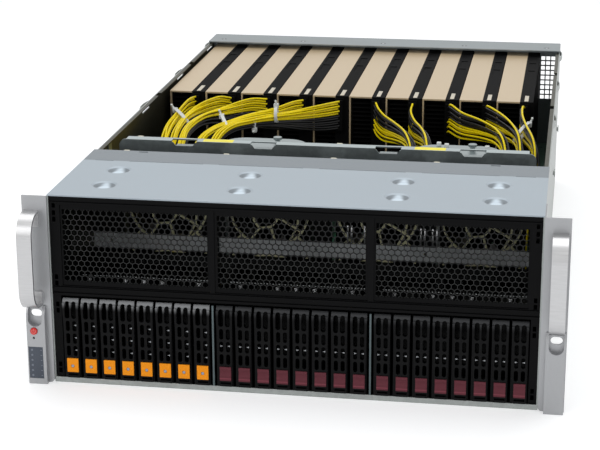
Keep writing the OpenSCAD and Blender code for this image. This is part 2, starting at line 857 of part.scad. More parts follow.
module backplane() {
    conn_h = 28;
    conn_w = 6;
    conn_z = cage_floor_z + 22;
    hole_w = 5;
    hole_h = 14;
    color("darkgreen")
    from_front() {
        difference() {
            block([-cage_half + 2, backplane_y, cage_floor_z - 1],
                  [cage_half - 2, backplane_y + board_t, cage_top_z - 1]);
            // Air openings between the connectors
            for (i = [1:3 * drives_per_bay])
                for (z = [cage_floor_z + 6, cage_top_z - hole_h - 8.2])
                    block([drive_x(i) - hole_w, backplane_y - cut, z],
                          [drive_x(i) + hole_w, backplane_y + board_t + cut, z + hole_h]);
        }
        // One connector for each drive
        for (i = [1:3 * drives_per_bay])
            difference() {
                block([drive_x(i) - conn_w / 2, socket_y, conn_z],
                      [drive_x(i) + conn_w / 2, backplane_y, conn_z + conn_h]);
                block([drive_x(i) - 1, socket_y - cut, conn_z + 2],
                      [drive_x(i) + 1, backplane_y - 1, conn_z + conn_h - 2]);
            }
    }
}

// A drive in its carrier: a vented nose, two rails and the drive itself
module drive(i) {
    half = carrier_w / 2;
    face_y = -1;
    base_y = 0.6;
    wall = 1.4;
    taper_left = 2.6;
    taper_right = 1.1;
    taper_top = 12;
    tab_z = 6;
    tab_h = 13;
    tab_x = (taper_left - taper_right) / 2;
    tab_w = carrier_w - taper_left - taper_right - 0.6;
    vent_x = 3.05;
    port_z = carrier_h - 10.6;
    vent_rows = [port_z - 39, port_z - 27, port_z - 15];
    vent_h = 10;
    vent_r = 1.85;
    port_r = 2.25;
    port_h = 16;
    top_r = 4;
    orange = i <= drives_per_bay;
    color(orange ? "darkorange" : "maroon")
    translate([drive_x(i), front_y, carrier_z]) {
        difference() {
            union() {
                // Nose block, its upper front edge rounded back
                slab_x(-half, half) {
                    translate([base_y, 0])
                        square([carrier_nose - base_y, carrier_h - top_r]);
                    translate([base_y + top_r, 0])
                        square([carrier_nose - base_y - top_r, carrier_h]);
                    translate([base_y + top_r, carrier_h - top_r])
                        circle(r = top_r, $fn = round_fn);
                }
                // Raised face, narrower towards the bottom
                slab_y(face_y, base_y + wall)
                    polygon([
                        [-half + taper_left, 0], [half - taper_right, 0],
                        [half, carrier_h - taper_top], [half, carrier_h - top_r],
                        [-half, carrier_h - top_r], [-half, carrier_h - taper_top]]);
                // Release tab
                block([tab_x - tab_w / 2, face_y - tab_proud, tab_z],
                      [tab_x + tab_w / 2, base_y, tab_z + tab_h]);
                // Side rails
                for (side = [-1, 1])
                    block([side * (half - wall / 2) - wall / 2, carrier_nose - wall,
                           2],
                          [side * (half - wall / 2) + wall / 2, carrier_nose + 4,
                           carrier_h - 4]);
                // The drive
                block([-drive_t / 2, carrier_nose, 2],
                      [drive_t / 2, carrier_len, carrier_h - 3.6]);
            }
            // Hollow of the nose
            block([-half + wall, base_y + 2 * wall, wall],
                  [half - wall, carrier_nose - wall, carrier_h - wall]);
            // Two tall ports and three rows of vents
            slab_y(face_y - cut, base_y + 3 * wall) {
                for (side = [-1, 1]) {
                    translate([side * vent_x, port_z])
                        rotate(90)
                            stadium(port_h, port_r);
                    for (z = vent_rows)
                        translate([side * vent_x + 0.3, z])
                            rotate(90)
                                stadium(vent_h, vent_r);
                }
            }
            // Slot of the lever under the tab
            block([tab_x - tab_w / 2 + 0.4, face_y - cut, 2.2],
                  [tab_x + tab_w / 2 - 0.4, base_y + wall, 4]);
            if (orange)
                rod_y(tab_x, tab_z + tab_h * 0.45, 3.2, face_y - tab_proud - cut,
                      face_y + 0.5);
            else
                // Fingernail hollow over the lower edge of the tab
                rod_x(face_y - tab_proud - 5.2, tab_z + tab_h * 0.6, 12, -half, half);
            // Contact slot at the rear of the drive
            block([-2, carrier_len - 5, 20], [2, carrier_len + cut, 50]);
        }
    }
}

// ---- air flow

// Places its children at each fan's middle, on the fan wall's front
module each_fan() {
    for (x = fan_x)
        for (z = [fan_low_z, fan_high_z])
            translate([x, 0, z])
                children();
}

module fan_wall() {
    window_w = fan_size + 6;
    bar_z = fan_high_z - fan_size / 2 - 5.1;
    bar_h = 14.2;
    top_margin = 8;
    foot = 12;
    color("silver")
    from_front() {
        difference() {
            block([-inner_w, fan_wall_y, wall_t],
                  [inner_w, fan_wall_y + wall_t, cover_z]);
            for (x = fan_x) {
                block([x - window_w / 2, fan_wall_y - cut, fan_low_z - fan_size / 2 + 2],
                      [x + window_w / 2, fan_wall_y + wall_t + cut, bar_z]);
                block([x - window_w / 2, fan_wall_y - cut, bar_z + bar_h],
                      [x + window_w / 2, fan_wall_y + wall_t + cut, cover_z - top_margin]);
            }
            // Screw holes along the bar
            for (x = [-inner_w + 17, fan_x[0] + 50, fan_x[1] + 45, fan_x[2] + 46,
                      inner_w - 10])
                rod_y(x, bar_z + bar_h / 2, screw_d, fan_wall_y - cut,
                      fan_wall_y + wall_t + cut);
        }
        // Foot and head flanges
        block([-inner_w, fan_wall_y - foot, wall_t],
              [inner_w, fan_wall_y, 2 * wall_t]);
        block([-inner_w, fan_wall_y - foot, cover_z - wall_t],
              [inner_w, fan_wall_y, cover_z]);
    }
}

// Half of a guard: the fan centre is the origin, in the plane of the guard
module guard_half() {
    ring_r = fan_hole_d / 2;
    d = guard_wire_d;
    left_knot = [-10, -19.5];
    right_knot = [1.3, -18];
    side_knot = [26, -18.5];
    wire([-19, -ring_r * 0.86], left_knot, d);
    wire(left_knot, right_knot, d);
    wire(left_knot, [-15, -12], d);
    wire([-15, -12], [-15, 0], d);
    wire(right_knot, [7, -11.5], d);
    wire([7, -11.5], [7, 0], d);
    wire(right_knot, [6, -ring_r + 1], d);
    wire(side_knot, [13, -11], d);
    wire([13, -11], [7, -8], d);
    wire(side_knot, [27.5, -12], d);
    wire([27.5, -12], [27.5, 0], d);
    wire(side_knot, [17.5, -ring_r * 0.9], d);
    wire(side_knot, [31, -ring_r * 0.59], d);
}

module fan_guards() {
    ring_r = fan_hole_d / 2;
    ear = fan_size / 2 - 4;
    color("tan")
    from_front()
        each_fan()
            slab_y(guard_y, guard_y + guard_wire_d) {
                difference() {
                    circle(r = ring_r + guard_wire_d / 2, $fn = round_fn);
                    circle(r = ring_r - guard_wire_d / 2, $fn = round_fn);
                }
                guard_half();
                mirror([0, 1])
                    guard_half();
                // Ears that the fan's screws hold
                for (a = [45:90:315])
                    rotate(a)
                        wire([ring_r, 0], [ear * sqrt(2), 0], guard_wire_d);
            }
}

module fan_housings() {
    strut_t = 3;
    corner_r = 4;
    half = fan_size / 2;
    color("black")
    from_front()
        each_fan() {
            // Square frame with a round duct
            slab_y(fan_y, fan_y + fan_d)
                difference() {
                    square(fan_size, center = true);
                    circle(d = fan_hole_d, $fn = round_fn);
                    for (a = [45:90:315])
                        rotate(a)
                            translate([half * sqrt(2) - corner_r * 1.9, 0])
                                circle(d = screw_d, $fn = round_fn);
                }
            // Motor base with its struts and the shaft
            rod_y(0, 0, hub_d, motor_y, fan_y + fan_d);
            slab_y(fan_y + fan_d - 5, fan_y + fan_d)
                for (a = [20:72:340])
                    rotate(a)
                        translate([hub_d / 2 - 1, -strut_t / 2])
                            square([fan_hole_d / 2 - hub_d / 2 + 1.5, strut_t]);
            rod_y(0, 0, shaft_d, rotor_y + shaft_start, motor_y);
        }
}

// A curved blade of a fan wheel, leaving the hub along X, within the rim
module blade(r) {
    blade_t = 1.4;
    curve_r = 30;
    chord = 30;
    tilt = 48;
    root = hub_d / 2 - 1;
    intersection() {
        difference() {
            cylinder(r = r, h = rotor_len, $fn = round_fn);
            translate([0, 0, -cut])
                cylinder(r = root, h = rotor_len + 2 * cut, $fn = round_fn);
        }
        translate([root - 4, 0, rotor_len / 2])
            rotate([0, 90, 0])
                linear_extrude(height = r)
                    rotate(tilt)
                        intersection() {
                            translate([0, -curve_r])
                                difference() {
                                    circle(r = curve_r, $fn = round_fn);
                                    circle(r = curve_r - blade_t, $fn = round_fn);
                                }
                            translate([-chord / 2, -chord / 2])
                                square([chord, chord]);
                        }
    }
}

// A fan wheel with a bore for the shaft. Odd numbers are the lower fans.
module fan_rotor(n) {
    x = fan_x[floor((n - 1) / 2)];
    z = n % 2 == 1 ? fan_low_z : fan_high_z;
    color("dimgray")
    translate([x, front_y + rotor_y, z])
        rotate([-90, 0, 0])
            difference() {
                union() {
                    cylinder(d = hub_d, h = rotor_len, $fn = round_fn);
                    for (k = [0:blade_count - 1])
                        rotate([0, 0, k * 360 / blade_count])
                            blade(rotor_d / 2);
                }
                translate([0, 0, shaft_start - spin_gap])
                    cylinder(d = shaft_d + 2 * bearing_gap, h = rotor_len, $fn = round_fn);
            }
}

// ---- ears

ear_half = half_w + ear_w;
ear_top = chassis_h - 1;
ear_screw_y = 30;
ear_screw_z = [30, 90, ear_top - 27];
panel_out = 0.6;
panel_in = 5;
slot_x = ear_half - slot_inset;
strap_x = slot_x - handle_w / 2;
handle_low_z = slot_z + 8.3;
handle_high_z = ear_top - 13;
handle_screw_z = [handle_low_z + 7, handle_high_z - 9];
handle_r = 20;
pocket_w = 13;
pocket_low = slot_z - 4.7;
button_x = -(ear_half - 7.5);
button_z = ear_panel_h - 9.7;
button_gap = 0.3;
button_out = 1.2;
button_seat = 4;

// A rack ear on the right-hand side, with its raised panel and its slot
module ear() {
    flange_d = 46;
    flange_t = 1;
    corner_r = 4;
    ramp_h = slot_z + 8 - ear_panel_h;
    panel_y = -ear_panel_reach;
    ramp_steps = 6;
    difference() {
        union() {
            // Plate
            slab_y(-ear_t, 0) {
                translate([half_w, corner_r])
                    square([ear_half - half_w, ear_top - corner_r]);
                translate([half_w + corner_r, 0])
                    square([ear_half - half_w - corner_r, ear_top]);
                translate([half_w + corner_r, corner_r])
                    circle(r = corner_r, $fn = round_fn);
            }
            // Flange along the chassis side
            block([half_w, 0, 2], [half_w + flange_t, flange_d, ear_top - 2]);
            // Raised lower panel, its top curving back to the plate
            slab_x(half_w + panel_in, ear_half - panel_out)
                polygon(concat(
                    [[-ear_t, 0], [panel_y, 0], [panel_y, ear_panel_h]],
                    [for (k = [1:ramp_steps]) let (a = 90 * k / ramp_steps)
                        [panel_y + (ear_panel_reach - ear_t) * (1 - cos(a)),
                         ear_panel_h + ramp_h * sin(a)]]));
        }
        // Pocket round the rack slot
        block([slot_x - pocket_w / 2, panel_y - cut, pocket_low],
              [slot_x + pocket_w / 2, -ear_t, slot_z + 12]);
        rod_y(slot_x, pocket_low, pocket_w, panel_y - cut, -ear_t);
        // Rack slot
        slab_y(-ear_t - cut, cut)
            translate([slot_x, slot_z])
                stadium(slot_len, slot_r);
        // Screw holes of the flange and of the handle
        for (z = ear_screw_z)
            rod_x(ear_screw_y, z, screw_d, half_w - cut, half_w + flange_t + cut);
        for (z = handle_screw_z)
            rod_y(slot_x, z, screw_d, -ear_t - cut, cut);
    }
}

module right_ear() {
    color("silver")
    from_front()
        ear();
}

module left_ear() {
    lamp_z = [5.5, 36];
    lamp_w = 13.5;
    lamp_depth = 0.6;
    reset_drop = 6.7;
    reset_d = 2.3;
    color("silver")
    from_front()
        difference() {
            mirror([1, 0, 0])
                ear();
            // Button well with a hole for its stem
            rod_y(button_x, button_z, button_d + 2 * button_gap,
                  -ear_panel_reach - cut, -ear_panel_reach + button_seat + button_travel
                  + button_gap);
            // Pinhole of the recessed reset switch
            rod_y(button_x - 0.4, button_z - reset_drop, reset_d,
                  -ear_panel_reach - cut, -ear_panel_reach + 3);
            // Seat of the status window
            block([button_x + 0.7 - lamp_w / 2, -ear_panel_reach - cut, lamp_z[0]],
                  [button_x + 0.7 + lamp_w / 2, -ear_panel_reach + lamp_depth,
                   lamp_z[1]]);
        }
}

module power_button() {
    color("red")
    from_front() {
        rod_y(button_x, button_z, button_d, -ear_panel_reach - button_out,
              -ear_panel_reach + button_seat);
    }
}

// Side view of a handle: a bow with two feet folded inward
module handle_outline() {
    top = handle_high_z;
    low = handle_low_z;
    difference() {
        bow_shape(handle_reach, low, top, handle_r);
        bow_shape(handle_reach - handle_t, low + handle_t, top - handle_t,
                  handle_r - handle_t);
    }
    translate([-ear_t - handle_t, top - 15])
        square([handle_t, 15 - handle_t / 2]);
    translate([-ear_t - handle_t, low + handle_t / 2])
        square([handle_t, 13 - handle_t / 2]);
}

// A rectangle against the ear plate with its two front corners rounded
module bow_shape(reach, low, top, r) {
    intersection() {
        translate([-reach, low])
            square([reach - ear_t, top - low]);
        union() {
            translate([-reach + r, low])
                square([reach, top - low]);
            translate([-reach, low + r])
                square([reach, top - low - 2 * r]);
            for (z = [low + r, top - r])
                translate([-reach + r, z])
                    circle(r = r, $fn = round_fn);
        }
    }
}

module ear_handles() {
    color("gainsboro")
    from_front()
        both_sides()
            difference() {
                slab_x(strap_x, strap_x + handle_w)
                    handle_outline();
                for (z = handle_screw_z)
                    rod_y(slot_x, z, 2.5, -ear_t - handle_t + 0.6, 0);
            }
}

// ---- boards

module main_board() {
    port_w = [14, 14, 18, 16];
    port_h = 14;
    port_x0 = -tail_half + 4;
    port_pitch = (2 * tail_half - 8 - port_w[3]) / 3;
    color("darkgreen")
    from_front() {
        difference() {
            union() {
                block([-main_half, main_board_y, main_z],
                      [main_half, main_rear_y, main_top]);
                block([-tail_half, main_rear_y, main_z],
                      [tail_half, chassis_d - wall_t - 1, main_top]);
            }
            // Fixing holes
            for (x = [-0.94 * main_half, -0.6 * tail_half, 0.6 * tail_half,
                      0.94 * main_half])
                for (y = [main_board_y + 8, main_rear_y - 8])
                    rod_z(x, y, screw_d, main_z - cut, main_top + cut);
        }
        // Processor sockets
        both_sides()
            block([cpu_x - 30, sink_y + 12, main_top],
                  [cpu_x + 30, sink_y + sink_d - 12, main_top + socket_h]);
        // Memory sockets, each with a groove for its module
        for (x = module_x())
            difference() {
                block([x - 3.2, module_y - 4, main_top],
                      [x + 3.2, module_y + module_len + 4, main_top + 8]);
                block([x - 0.8, module_y - 0.2, main_top + module_lift],
                      [x + 0.8, module_y + module_len + 0.2, main_top + 8 + cut]);
            }
        // Headers that feed the cards
        for (x = header_x)
            block([x - header_w / 2, header_y - header_d / 2, main_top],
                  [x + header_w / 2, header_y + header_d / 2, main_top + header_h]);
        // Rear ports
        for (k = [0:len(port_w) - 1])
            difference() {
                block([port_x0 + k * port_pitch, chassis_d - wall_t - 18, main_top],
                      [port_x0 + k * port_pitch + port_w[k], chassis_d,
                       main_top + port_h]);
                block([port_x0 + k * port_pitch + 1, chassis_d - wall_t - 12, main_top + 1],
                      [port_x0 + k * port_pitch + port_w[k] - 1, chassis_d + cut,
                       main_top + port_h - 1]);
            }
    }
}

// Middles of all the memory modules, outward from each heat sink
function module_x() = [
    for (cpu = [-cpu_x, cpu_x])
        for (side = [-1, 1])
            for (k = [0:modules_per_side - 1])
                cpu + side * (sink_w / 2 + module_first + k * module_pitch)];

module memory_modules() {
    chip = 12;
    color("seagreen")
    from_front()
        for (x = module_x()) {
            block([x - 0.6, module_y, main_top + module_lift],
                  [x + 0.6, module_y + module_len, main_top + module_lift + module_h]);
            for (k = [0:8])
                block([x - 1.6, module_y + 3 + k * (chip + 2.4), main_top + 16],
                      [x - 0.6, module_y + 3 + k * (chip + 2.4) + chip - 1,
                       main_top + 30]);
        }
}

module cpu_heat_sinks() {
    fin_t = 0.8;
    fin_count = 20;
    base_t = 5;
    fin_pitch = (sink_w - fin_t) / (fin_count - 1);
    color("silver")
    from_front()
        for (x = [-cpu_x, cpu_x])
            translate([x - sink_w / 2, sink_y, main_top + socket_h]) {
                cube([sink_w, sink_d, base_t]);
                for (k = [0:fin_count - 1])
                    translate([k * fin_pitch, 0, base_t])
                        cube([fin_t, sink_d, sink_h - base_t]);
            }
}

module power_board() {
    board_y = psu_y - 8;
    socket_w = 40;
    socket_half_h = 6;
    socket_z = psu_z + psu_contact_z;
    bar_w = 20;
    bar_t = 2;
    color("darkgreen")
    from_front()
        both_sides() {
            block([psu_x[2] - psu_w / 2, board_y, wall_t + 2],
                  [psu_x[3] + psu_w / 2, board_y + board_t, shelf_z]);
            // Sockets that the supplies slide into
            for (x = [psu_x[2], psu_x[3]])
                difference() {
                    block([x - socket_w / 2, board_y + board_t, socket_z - socket_half_h],
                          [x + socket_w / 2, psu_y - slide_gap, socket_z + socket_half_h]);
                    block([x - socket_w / 2 + 2, board_y + board_t + 1, socket_z - 1.2],
                          [x + socket_w / 2 - 2, psu_y, socket_z + 1.2]);
                }
            // Copper bars to the main board
            for (x = [psu_x[2] + 8, psu_x[3] - 40])
                block([x, main_rear_y - 14, main_top],
                      [x + bar_w, board_y, main_top + bar_t]);
        }
}

// A power supply: a vented case, an inlet, a fan opening and a pull loop
module power_supply(n) {
    case_t = 1;
    vent_d = 34;
    inlet_w = 26;
    inlet_h = 20;
    loop_w = 22;
    loop_t = 4;
    half = psu_w / 2;
    vent_x = -half + 24;
    inlet_x = half - 20;
    inlet_z = 8;
    tab_w = 34;
    color("silver")
    translate([psu_x[n - 1], front_y + psu_y, psu_z]) {
        difference() {
            translate([-half, 0, 0])
                cube([psu_w, psu_len, psu_h]);
            block([-half + case_t, case_t, case_t],
                  [half - case_t, psu_len - case_t, psu_h - case_t]);
            // Vents at the inner end
            slab_y(-cut, case_t + cut)
                hole_field(-half + 3, half - 3, 24, psu_h - 2, hole_pitch, hole_web,
                           hex_fn);
            // Fan opening at the outer end
            rod_y(vent_x, psu_h / 2, vent_d, psu_len - case_t - cut, psu_len + cut);
            block([inlet_x - inlet_w / 2, psu_len - case_t - cut, inlet_z],
                  [inlet_x + inlet_w / 2, psu_len + cut, inlet_z + inlet_h]);
        }
        // Finger guard over the fan opening
        slab_y(psu_len - case_t, psu_len)
            translate([vent_x, psu_h / 2]) {
                for (r = [5, 10, 15])
                    difference() {
                        circle(r = r + 0.6, $fn = round_fn);
                        circle(r = r - 0.6, $fn = round_fn);
                    }
                for (a = [45, 135])
                    rotate(a)
                        square([vent_d + 1, 1.2], center = true);
            }
        // Mains inlet with its three pins' well
        difference() {
            block([inlet_x - inlet_w / 2, psu_len - 24, inlet_z],
                  [inlet_x + inlet_w / 2, psu_len, inlet_z + inlet_h]);
            block([inlet_x - inlet_w / 2 + 1.5, psu_len - 18, inlet_z + 1.5],
                  [inlet_x + inlet_w / 2 - 1.5, psu_len + cut, inlet_z + inlet_h - 1.5]);
        }
        for (dx = [-7, 0, 7])
            block([inlet_x + dx - 1, psu_len - 18, 16], [inlet_x + dx + 1, psu_len - 3, 20]);
        // Pull loop
        slab_x(-loop_t / 2 + 2, loop_t / 2 + 2)
            translate([psu_len, 9])
                difference() {
                    pull_shape(psu_handle, loop_w, 9);
                    translate([0, loop_t])
                        pull_shape(psu_handle - loop_t, loop_w - 2 * loop_t, 5);
                }
        // Edge contact that enters the power board's socket
        block([-tab_w / 2, -5, psu_contact_z - 0.9], [tab_w / 2, case_t, psu_contact_z + 0.9]);
    }
}

// A loop's outline standing on a wall, with rounded outer corners
module pull_shape(reach, width, r) {
    square([reach - r, width]);
    translate([0, r])
        square([reach, width - 2 * r]);
    for (z = [r, width - r])
        translate([reach - r, z])
            circle(r = r, $fn = round_fn);
}

// ---- cards

function card_left(i) = first_card_x + i * card_pitch;

module card_board() {
    slot_w = 7.5;
    slot_y = card_y + 40;
    slot_len = 90;
    color("darkgreen")
    from_front() {
        difference() {
            block([-inner_w + 5, shelf_y + 6, card_board_z],
                  [inner_w - 5, rear_wall_y - 4, card_board_top]);
            for (x = standoff_x)
                for (y = [shelf_y + 24, rear_wall_y - 24])
                    rod_z(x, y, screw_d, card_board_z - cut, card_board_top + cut);
        }
        for (i = [0:card_count - 1])
            translate([card_left(i) + card_pcb_x + board_t / 2, slot_y, card_board_top])
                difference() {
                    translate([-slot_w / 2, 0, 0])
                        cube([slot_w, slot_len, slot_rise]);
                    translate([-board_t / 2 - 0.2, 2, slot_rise + slot_seat - finger_drop
                               - 0.3])
                        cube([board_t + 0.4, slot_len - 4, finger_drop + cut]);
                }
    }
}

module card_cores() {
    channel_count = 20;
    channel_x0 = shroud_t + 1.6;
    channel_w = 21;
    fin_set_back = 4;
    channel_pitch = (card_top - card_bottom - 6) / channel_count;
    channel_h = channel_pitch - 1.3;
    recess_x = shroud_w + (card_w - shroud_w) / 2;
    color("dimgray")
    from_front()
        for (i = [0:card_count - 1])
            translate([card_left(i), 0, 0]) {
                difference() {
                    union() {
                        // Fin block under the pale top plate
                        block([shroud_t, card_y + fin_set_back, card_bottom],
                              [shroud_w, card_rear_y, card_top - shroud_t]);
                        // Backbone with the dark top strip
                        block([shroud_w, card_y, card_bottom],
                              [card_w, card_rear_y, card_top]);
                        // Socket column for the power plug
                        block([plug_x - plug_w / 2 - 1, plug_y, plug_z - 3],
                              [plug_x + plug_w / 2 + 1, card_y, card_top - 2]);
                        // Contact edge of the card's board
                        block([card_pcb_x, card_y + 44, card_bottom - finger_drop],
                              [card_pcb_x + board_t, card_y + 126, card_bottom]);
                    }
                    // Fin channels, open from end to end
                    for (k = [0:channel_count - 1])
                        block([channel_x0, card_y - cut,
                               card_bottom + 3 + k * channel_pitch],
                              [channel_x0 + channel_w, card_rear_y + cut,
                               card_bottom + 3 + k * channel_pitch + channel_h]);
                    // Three shallow panels in the dark strip
                    for (y = [0.5, 0.66, 0.82])
                        block([recess_x - 4, card_y + card_len * y, card_top - 0.6],
                              [recess_x + 4, card_y + card_len * y + 28, card_top + cut]);
                }
                // Power plug
                block([plug_x - plug_w / 2, plug_y - plug_out, plug_z],
                      [plug_x + plug_w / 2, plug_y, plug_z + plug_h]);
                // Bracket at the rear
                difference() {
                    block([0.4, card_rear_y, card_bottom - 2],
                          [card_w - 0.4, rear_wall_y, card_top]);
                    for (k = [0:3])
                        block([6, card_rear_y - cut, card_bottom + 12 + k * 22],
                              [card_w - 8, rear_wall_y + cut, card_bottom + 26 + k * 22]);
                }
            }
}

module card_shrouds() {
    color("tan")
    from_front()
        for (i = [0:card_count - 1])
            translate([card_left(i), 0, 0]) {
                block([0, card_y, card_top - shroud_t],
                      [shroud_w, card_rear_y, card_top]);
                block([0, card_y, card_bottom],
                      [shroud_t, card_rear_y, card_top - shroud_t]);
            }
}

// A bundle of cables swept through its points, which start on the card's
// plug, heading forward, and end on the header, heading down.
function unit(v) = v / norm(v);

function bundle_points(i) = concat(
    [[card_left(i) + plug_x, plug_y - plug_out, plug_z + plug_h - bundle_r - 1]],
    routes[i],
    [[header_x[i], header_y, main_top + header_h]]);

function heading(p, k) =
    k == 0 ? [0, -1, 0]
    : k == len(p) - 1 ? [0, 0, -1]
    : unit(unit(p[k + 1] - p[k]) + unit(p[k] - p[k - 1]));

function ring(centre, t) =
    let (u = unit([1, 0, 0] - t[0] * t), v = cross(t, u))
    [for (s = [0:bundle_sides - 1]) let (a = 360 * s / bundle_sides)
        centre + bundle_r * (cos(a) * u + sin(a) * v)];

module bundle(p) {
    n = bundle_sides;
    last = (len(p) - 1) * n;
    polyhedron(
        points = [for (k = [0:len(p) - 1]) each ring(p[k], heading(p, k))],
        faces = concat(
            [[for (s = [0:n - 1]) s]],
            [for (k = [0:len(p) - 2]) for (s = [0:n - 1])
                let (a = k * n + s, b = k * n + (s + 1) % n) each
                    [[a, a + n, b], [b, a + n, b + n]]],
            [[for (s = [n - 1:-1:0]) last + s]]));
}

module power_harness() {
    color("gold")
    from_front()
        for (i = [0:card_count - 1])
            bundle(bundle_points(i));
}

// ---- node choice

base_tray();
rear_panel();
card_shelf();
front_cover();
cross_beam();
front_frame();
mesh_grilles();
drive_cage();
backplane();
fan_wall();
fan_housings();
fan_guards();
left_ear();
right_ear();
ear_handles();
main_board();
cpu_heat_sinks();
memory_modules();
card_board();
card_cores();
card_shrouds();
power_board();
power_harness();
power_button();
drive(1);  // drive_01
drive(2);  // drive_02
drive(3);  // drive_03
drive(4);  // drive_04
drive(5);  // drive_05
drive(6);  // drive_06
drive(7);  // drive_07
drive(8);  // drive_08
drive(9);  // drive_09
drive(10);  // drive_10
drive(11);  // drive_11
drive(12);  // drive_12
drive(13);  // drive_13
drive(14);  // drive_14
drive(15);  // drive_15
drive(16);  // drive_16
drive(17);  // drive_17
drive(18);  // drive_18
drive(19);  // drive_19
drive(20);  // drive_20
drive(21);  // drive_21
drive(22);  // drive_22
drive(23);  // drive_23
drive(24);  // drive_24
fan_rotor(1);  // fan_rotor_1
fan_rotor(2);  // fan_rotor_2
fan_rotor(3);  // fan_rotor_3
fan_rotor(4);  // fan_rotor_4
fan_rotor(5);  // fan_rotor_5
fan_rotor(6);  // fan_rotor_6
fan_rotor(7);  // fan_rotor_7
fan_rotor(8);  // fan_rotor_8
power_supply(1);  // power_supply_1
power_supply(2);  // power_supply_2
power_supply(3);  // power_supply_3
power_supply(4);  // power_supply_4
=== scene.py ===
# %% [markdown]
# # A four-unit rack server, dressed
# A rack server is a sheet-metal box full of bought-in modules. The solids come
# from a CAD model, so this script adds what the eye reads next: zinc-coated and
# painted steel, brushed handles, black mouldings, bundles of yellow and black
# wires, screws, clips and labels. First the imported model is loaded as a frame.
# Nothing in it is moved. Every new piece is placed from its boxes.

# %% Load the frame
import math

import bmesh
import bpy
from mathutils import Matrix, Vector


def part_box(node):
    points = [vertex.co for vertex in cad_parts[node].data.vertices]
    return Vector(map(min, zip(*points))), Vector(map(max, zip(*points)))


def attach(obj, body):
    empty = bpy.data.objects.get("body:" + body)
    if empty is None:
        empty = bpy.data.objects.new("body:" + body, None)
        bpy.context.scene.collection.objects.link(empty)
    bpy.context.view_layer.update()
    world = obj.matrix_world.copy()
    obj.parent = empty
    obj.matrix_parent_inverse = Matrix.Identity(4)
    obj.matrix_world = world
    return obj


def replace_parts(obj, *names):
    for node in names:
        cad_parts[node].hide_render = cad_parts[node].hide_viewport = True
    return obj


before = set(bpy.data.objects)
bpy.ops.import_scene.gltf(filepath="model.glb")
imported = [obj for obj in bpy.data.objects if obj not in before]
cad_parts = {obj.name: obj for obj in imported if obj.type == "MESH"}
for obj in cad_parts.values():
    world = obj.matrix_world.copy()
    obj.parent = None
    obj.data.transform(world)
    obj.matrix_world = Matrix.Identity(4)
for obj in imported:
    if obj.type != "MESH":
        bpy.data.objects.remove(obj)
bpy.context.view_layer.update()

MM = 0.001
tray_low, tray_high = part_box("base_tray")
cover_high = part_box("front_cover")[1]
FRONT = tray_low.y
TOP = cover_high.z / MM
DEPTH = (tray_high.y - tray_low.y) / MM
HALF = cover_high.x / MM


def at(x, y, z):
    """A point in millimetres: x from the middle, y behind the front face, z up."""
    return Vector((x * MM, FRONT + y * MM, z * MM))


def span(node):
    """The lowest and highest corners of a CAD node, in the same millimetres."""
    low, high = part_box(node)
    shift = Vector((0, FRONT, 0))
    return (low - shift) / MM, (high - shift) / MM


print("chassis", round(2 * HALF), "wide,", round(TOP), "high,", round(DEPTH), "deep")

# %% [markdown]
# ## The camera
# The object is seen from its right-hand front corner, a little from above and
# through a long lens, so its edges stay nearly parallel. A camera is set by
# where it stands, where it points and how long its lens is. The three axes of
# its view are worked out from two angles and a slight roll, and they make the
# columns of its rotation.

# %% The camera
def make_camera(place, turn, drop, roll, lens):
    turn, drop, roll = (math.radians(a) for a in (turn, drop, roll))
    ahead = Vector((-math.sin(turn) * math.cos(drop),
                    math.cos(turn) * math.cos(drop), -math.sin(drop)))
    right = Vector((math.cos(turn), math.sin(turn), 0))
    up = right.cross(ahead)
    right, up = (math.cos(roll) * right + math.sin(roll) * up,
                 math.cos(roll) * up - math.sin(roll) * right)
    data = bpy.data.cameras.new("camera")
    data.lens = lens
    data.sensor_width = 36
    data.clip_end = 20
    camera = bpy.data.objects.new("camera", data)
    turned = Matrix((right, up, -ahead)).transposed().to_4x4()
    camera.matrix_world = Matrix.Translation(place) @ turned
    bpy.context.scene.collection.objects.link(camera)
    bpy.context.scene.camera = camera
    print("camera stands", round((place - at(0, 0, 0)).length, 2), "m from the front")


make_camera(at(238.4, -1419.8, 611.6), turn=9.2, drop=17.42, roll=-0.21, lens=104.36)

# %% [markdown]
# ## Shader sums as Python sums
# A procedural finish is a chain of small sums: a mask times a colour, one minus
# a mask. Wiring each Math node by hand hides the idea, so a small class wraps a
# socket and lets `+`, `-`, `*`, `/`, `<` and `>` add the nodes. A `Tree` holds a
# node tree, and its `node` method makes every other kind of node: settings
# first, then the values or links of its sockets. A `Finish` is the tree of one
# material, with the few textures and mixes that this server needs.

# %% A wrapped socket
class Wire:
    """An output socket that can be added, multiplied or compared like a number."""

    def __init__(self, tree, socket):
        self.tree = tree
        self.socket = socket

    def sum(self, operation, first, second=0.0):
        return self.tree.node("Math", {"operation": operation}, {0: first, 1: second})

    def __add__(self, other):
        return self.sum("ADD", self, other)

    def __sub__(self, other):
        return self.sum("SUBTRACT", self, other)

    def __rsub__(self, other):
        return self.sum("SUBTRACT", other, self)

    def __mul__(self, other):
        return self.sum("MULTIPLY", self, other)

    def __truediv__(self, other):
        return self.sum("DIVIDE", self, other)

    def __rtruediv__(self, other):
        return self.sum("DIVIDE", other, self)

    def __gt__(self, other):
        return self.sum("GREATER_THAN", self, other)

    def __lt__(self, other):
        return self.sum("LESS_THAN", self, other)

    def sine(self):
        return self.sum("SINE", self)

    def fraction(self):
        return self.sum("FRACT", self)

    def larger(self, other):
        return self.sum("MAXIMUM", self, other)

    __radd__ = __add__
    __rmul__ = __mul__


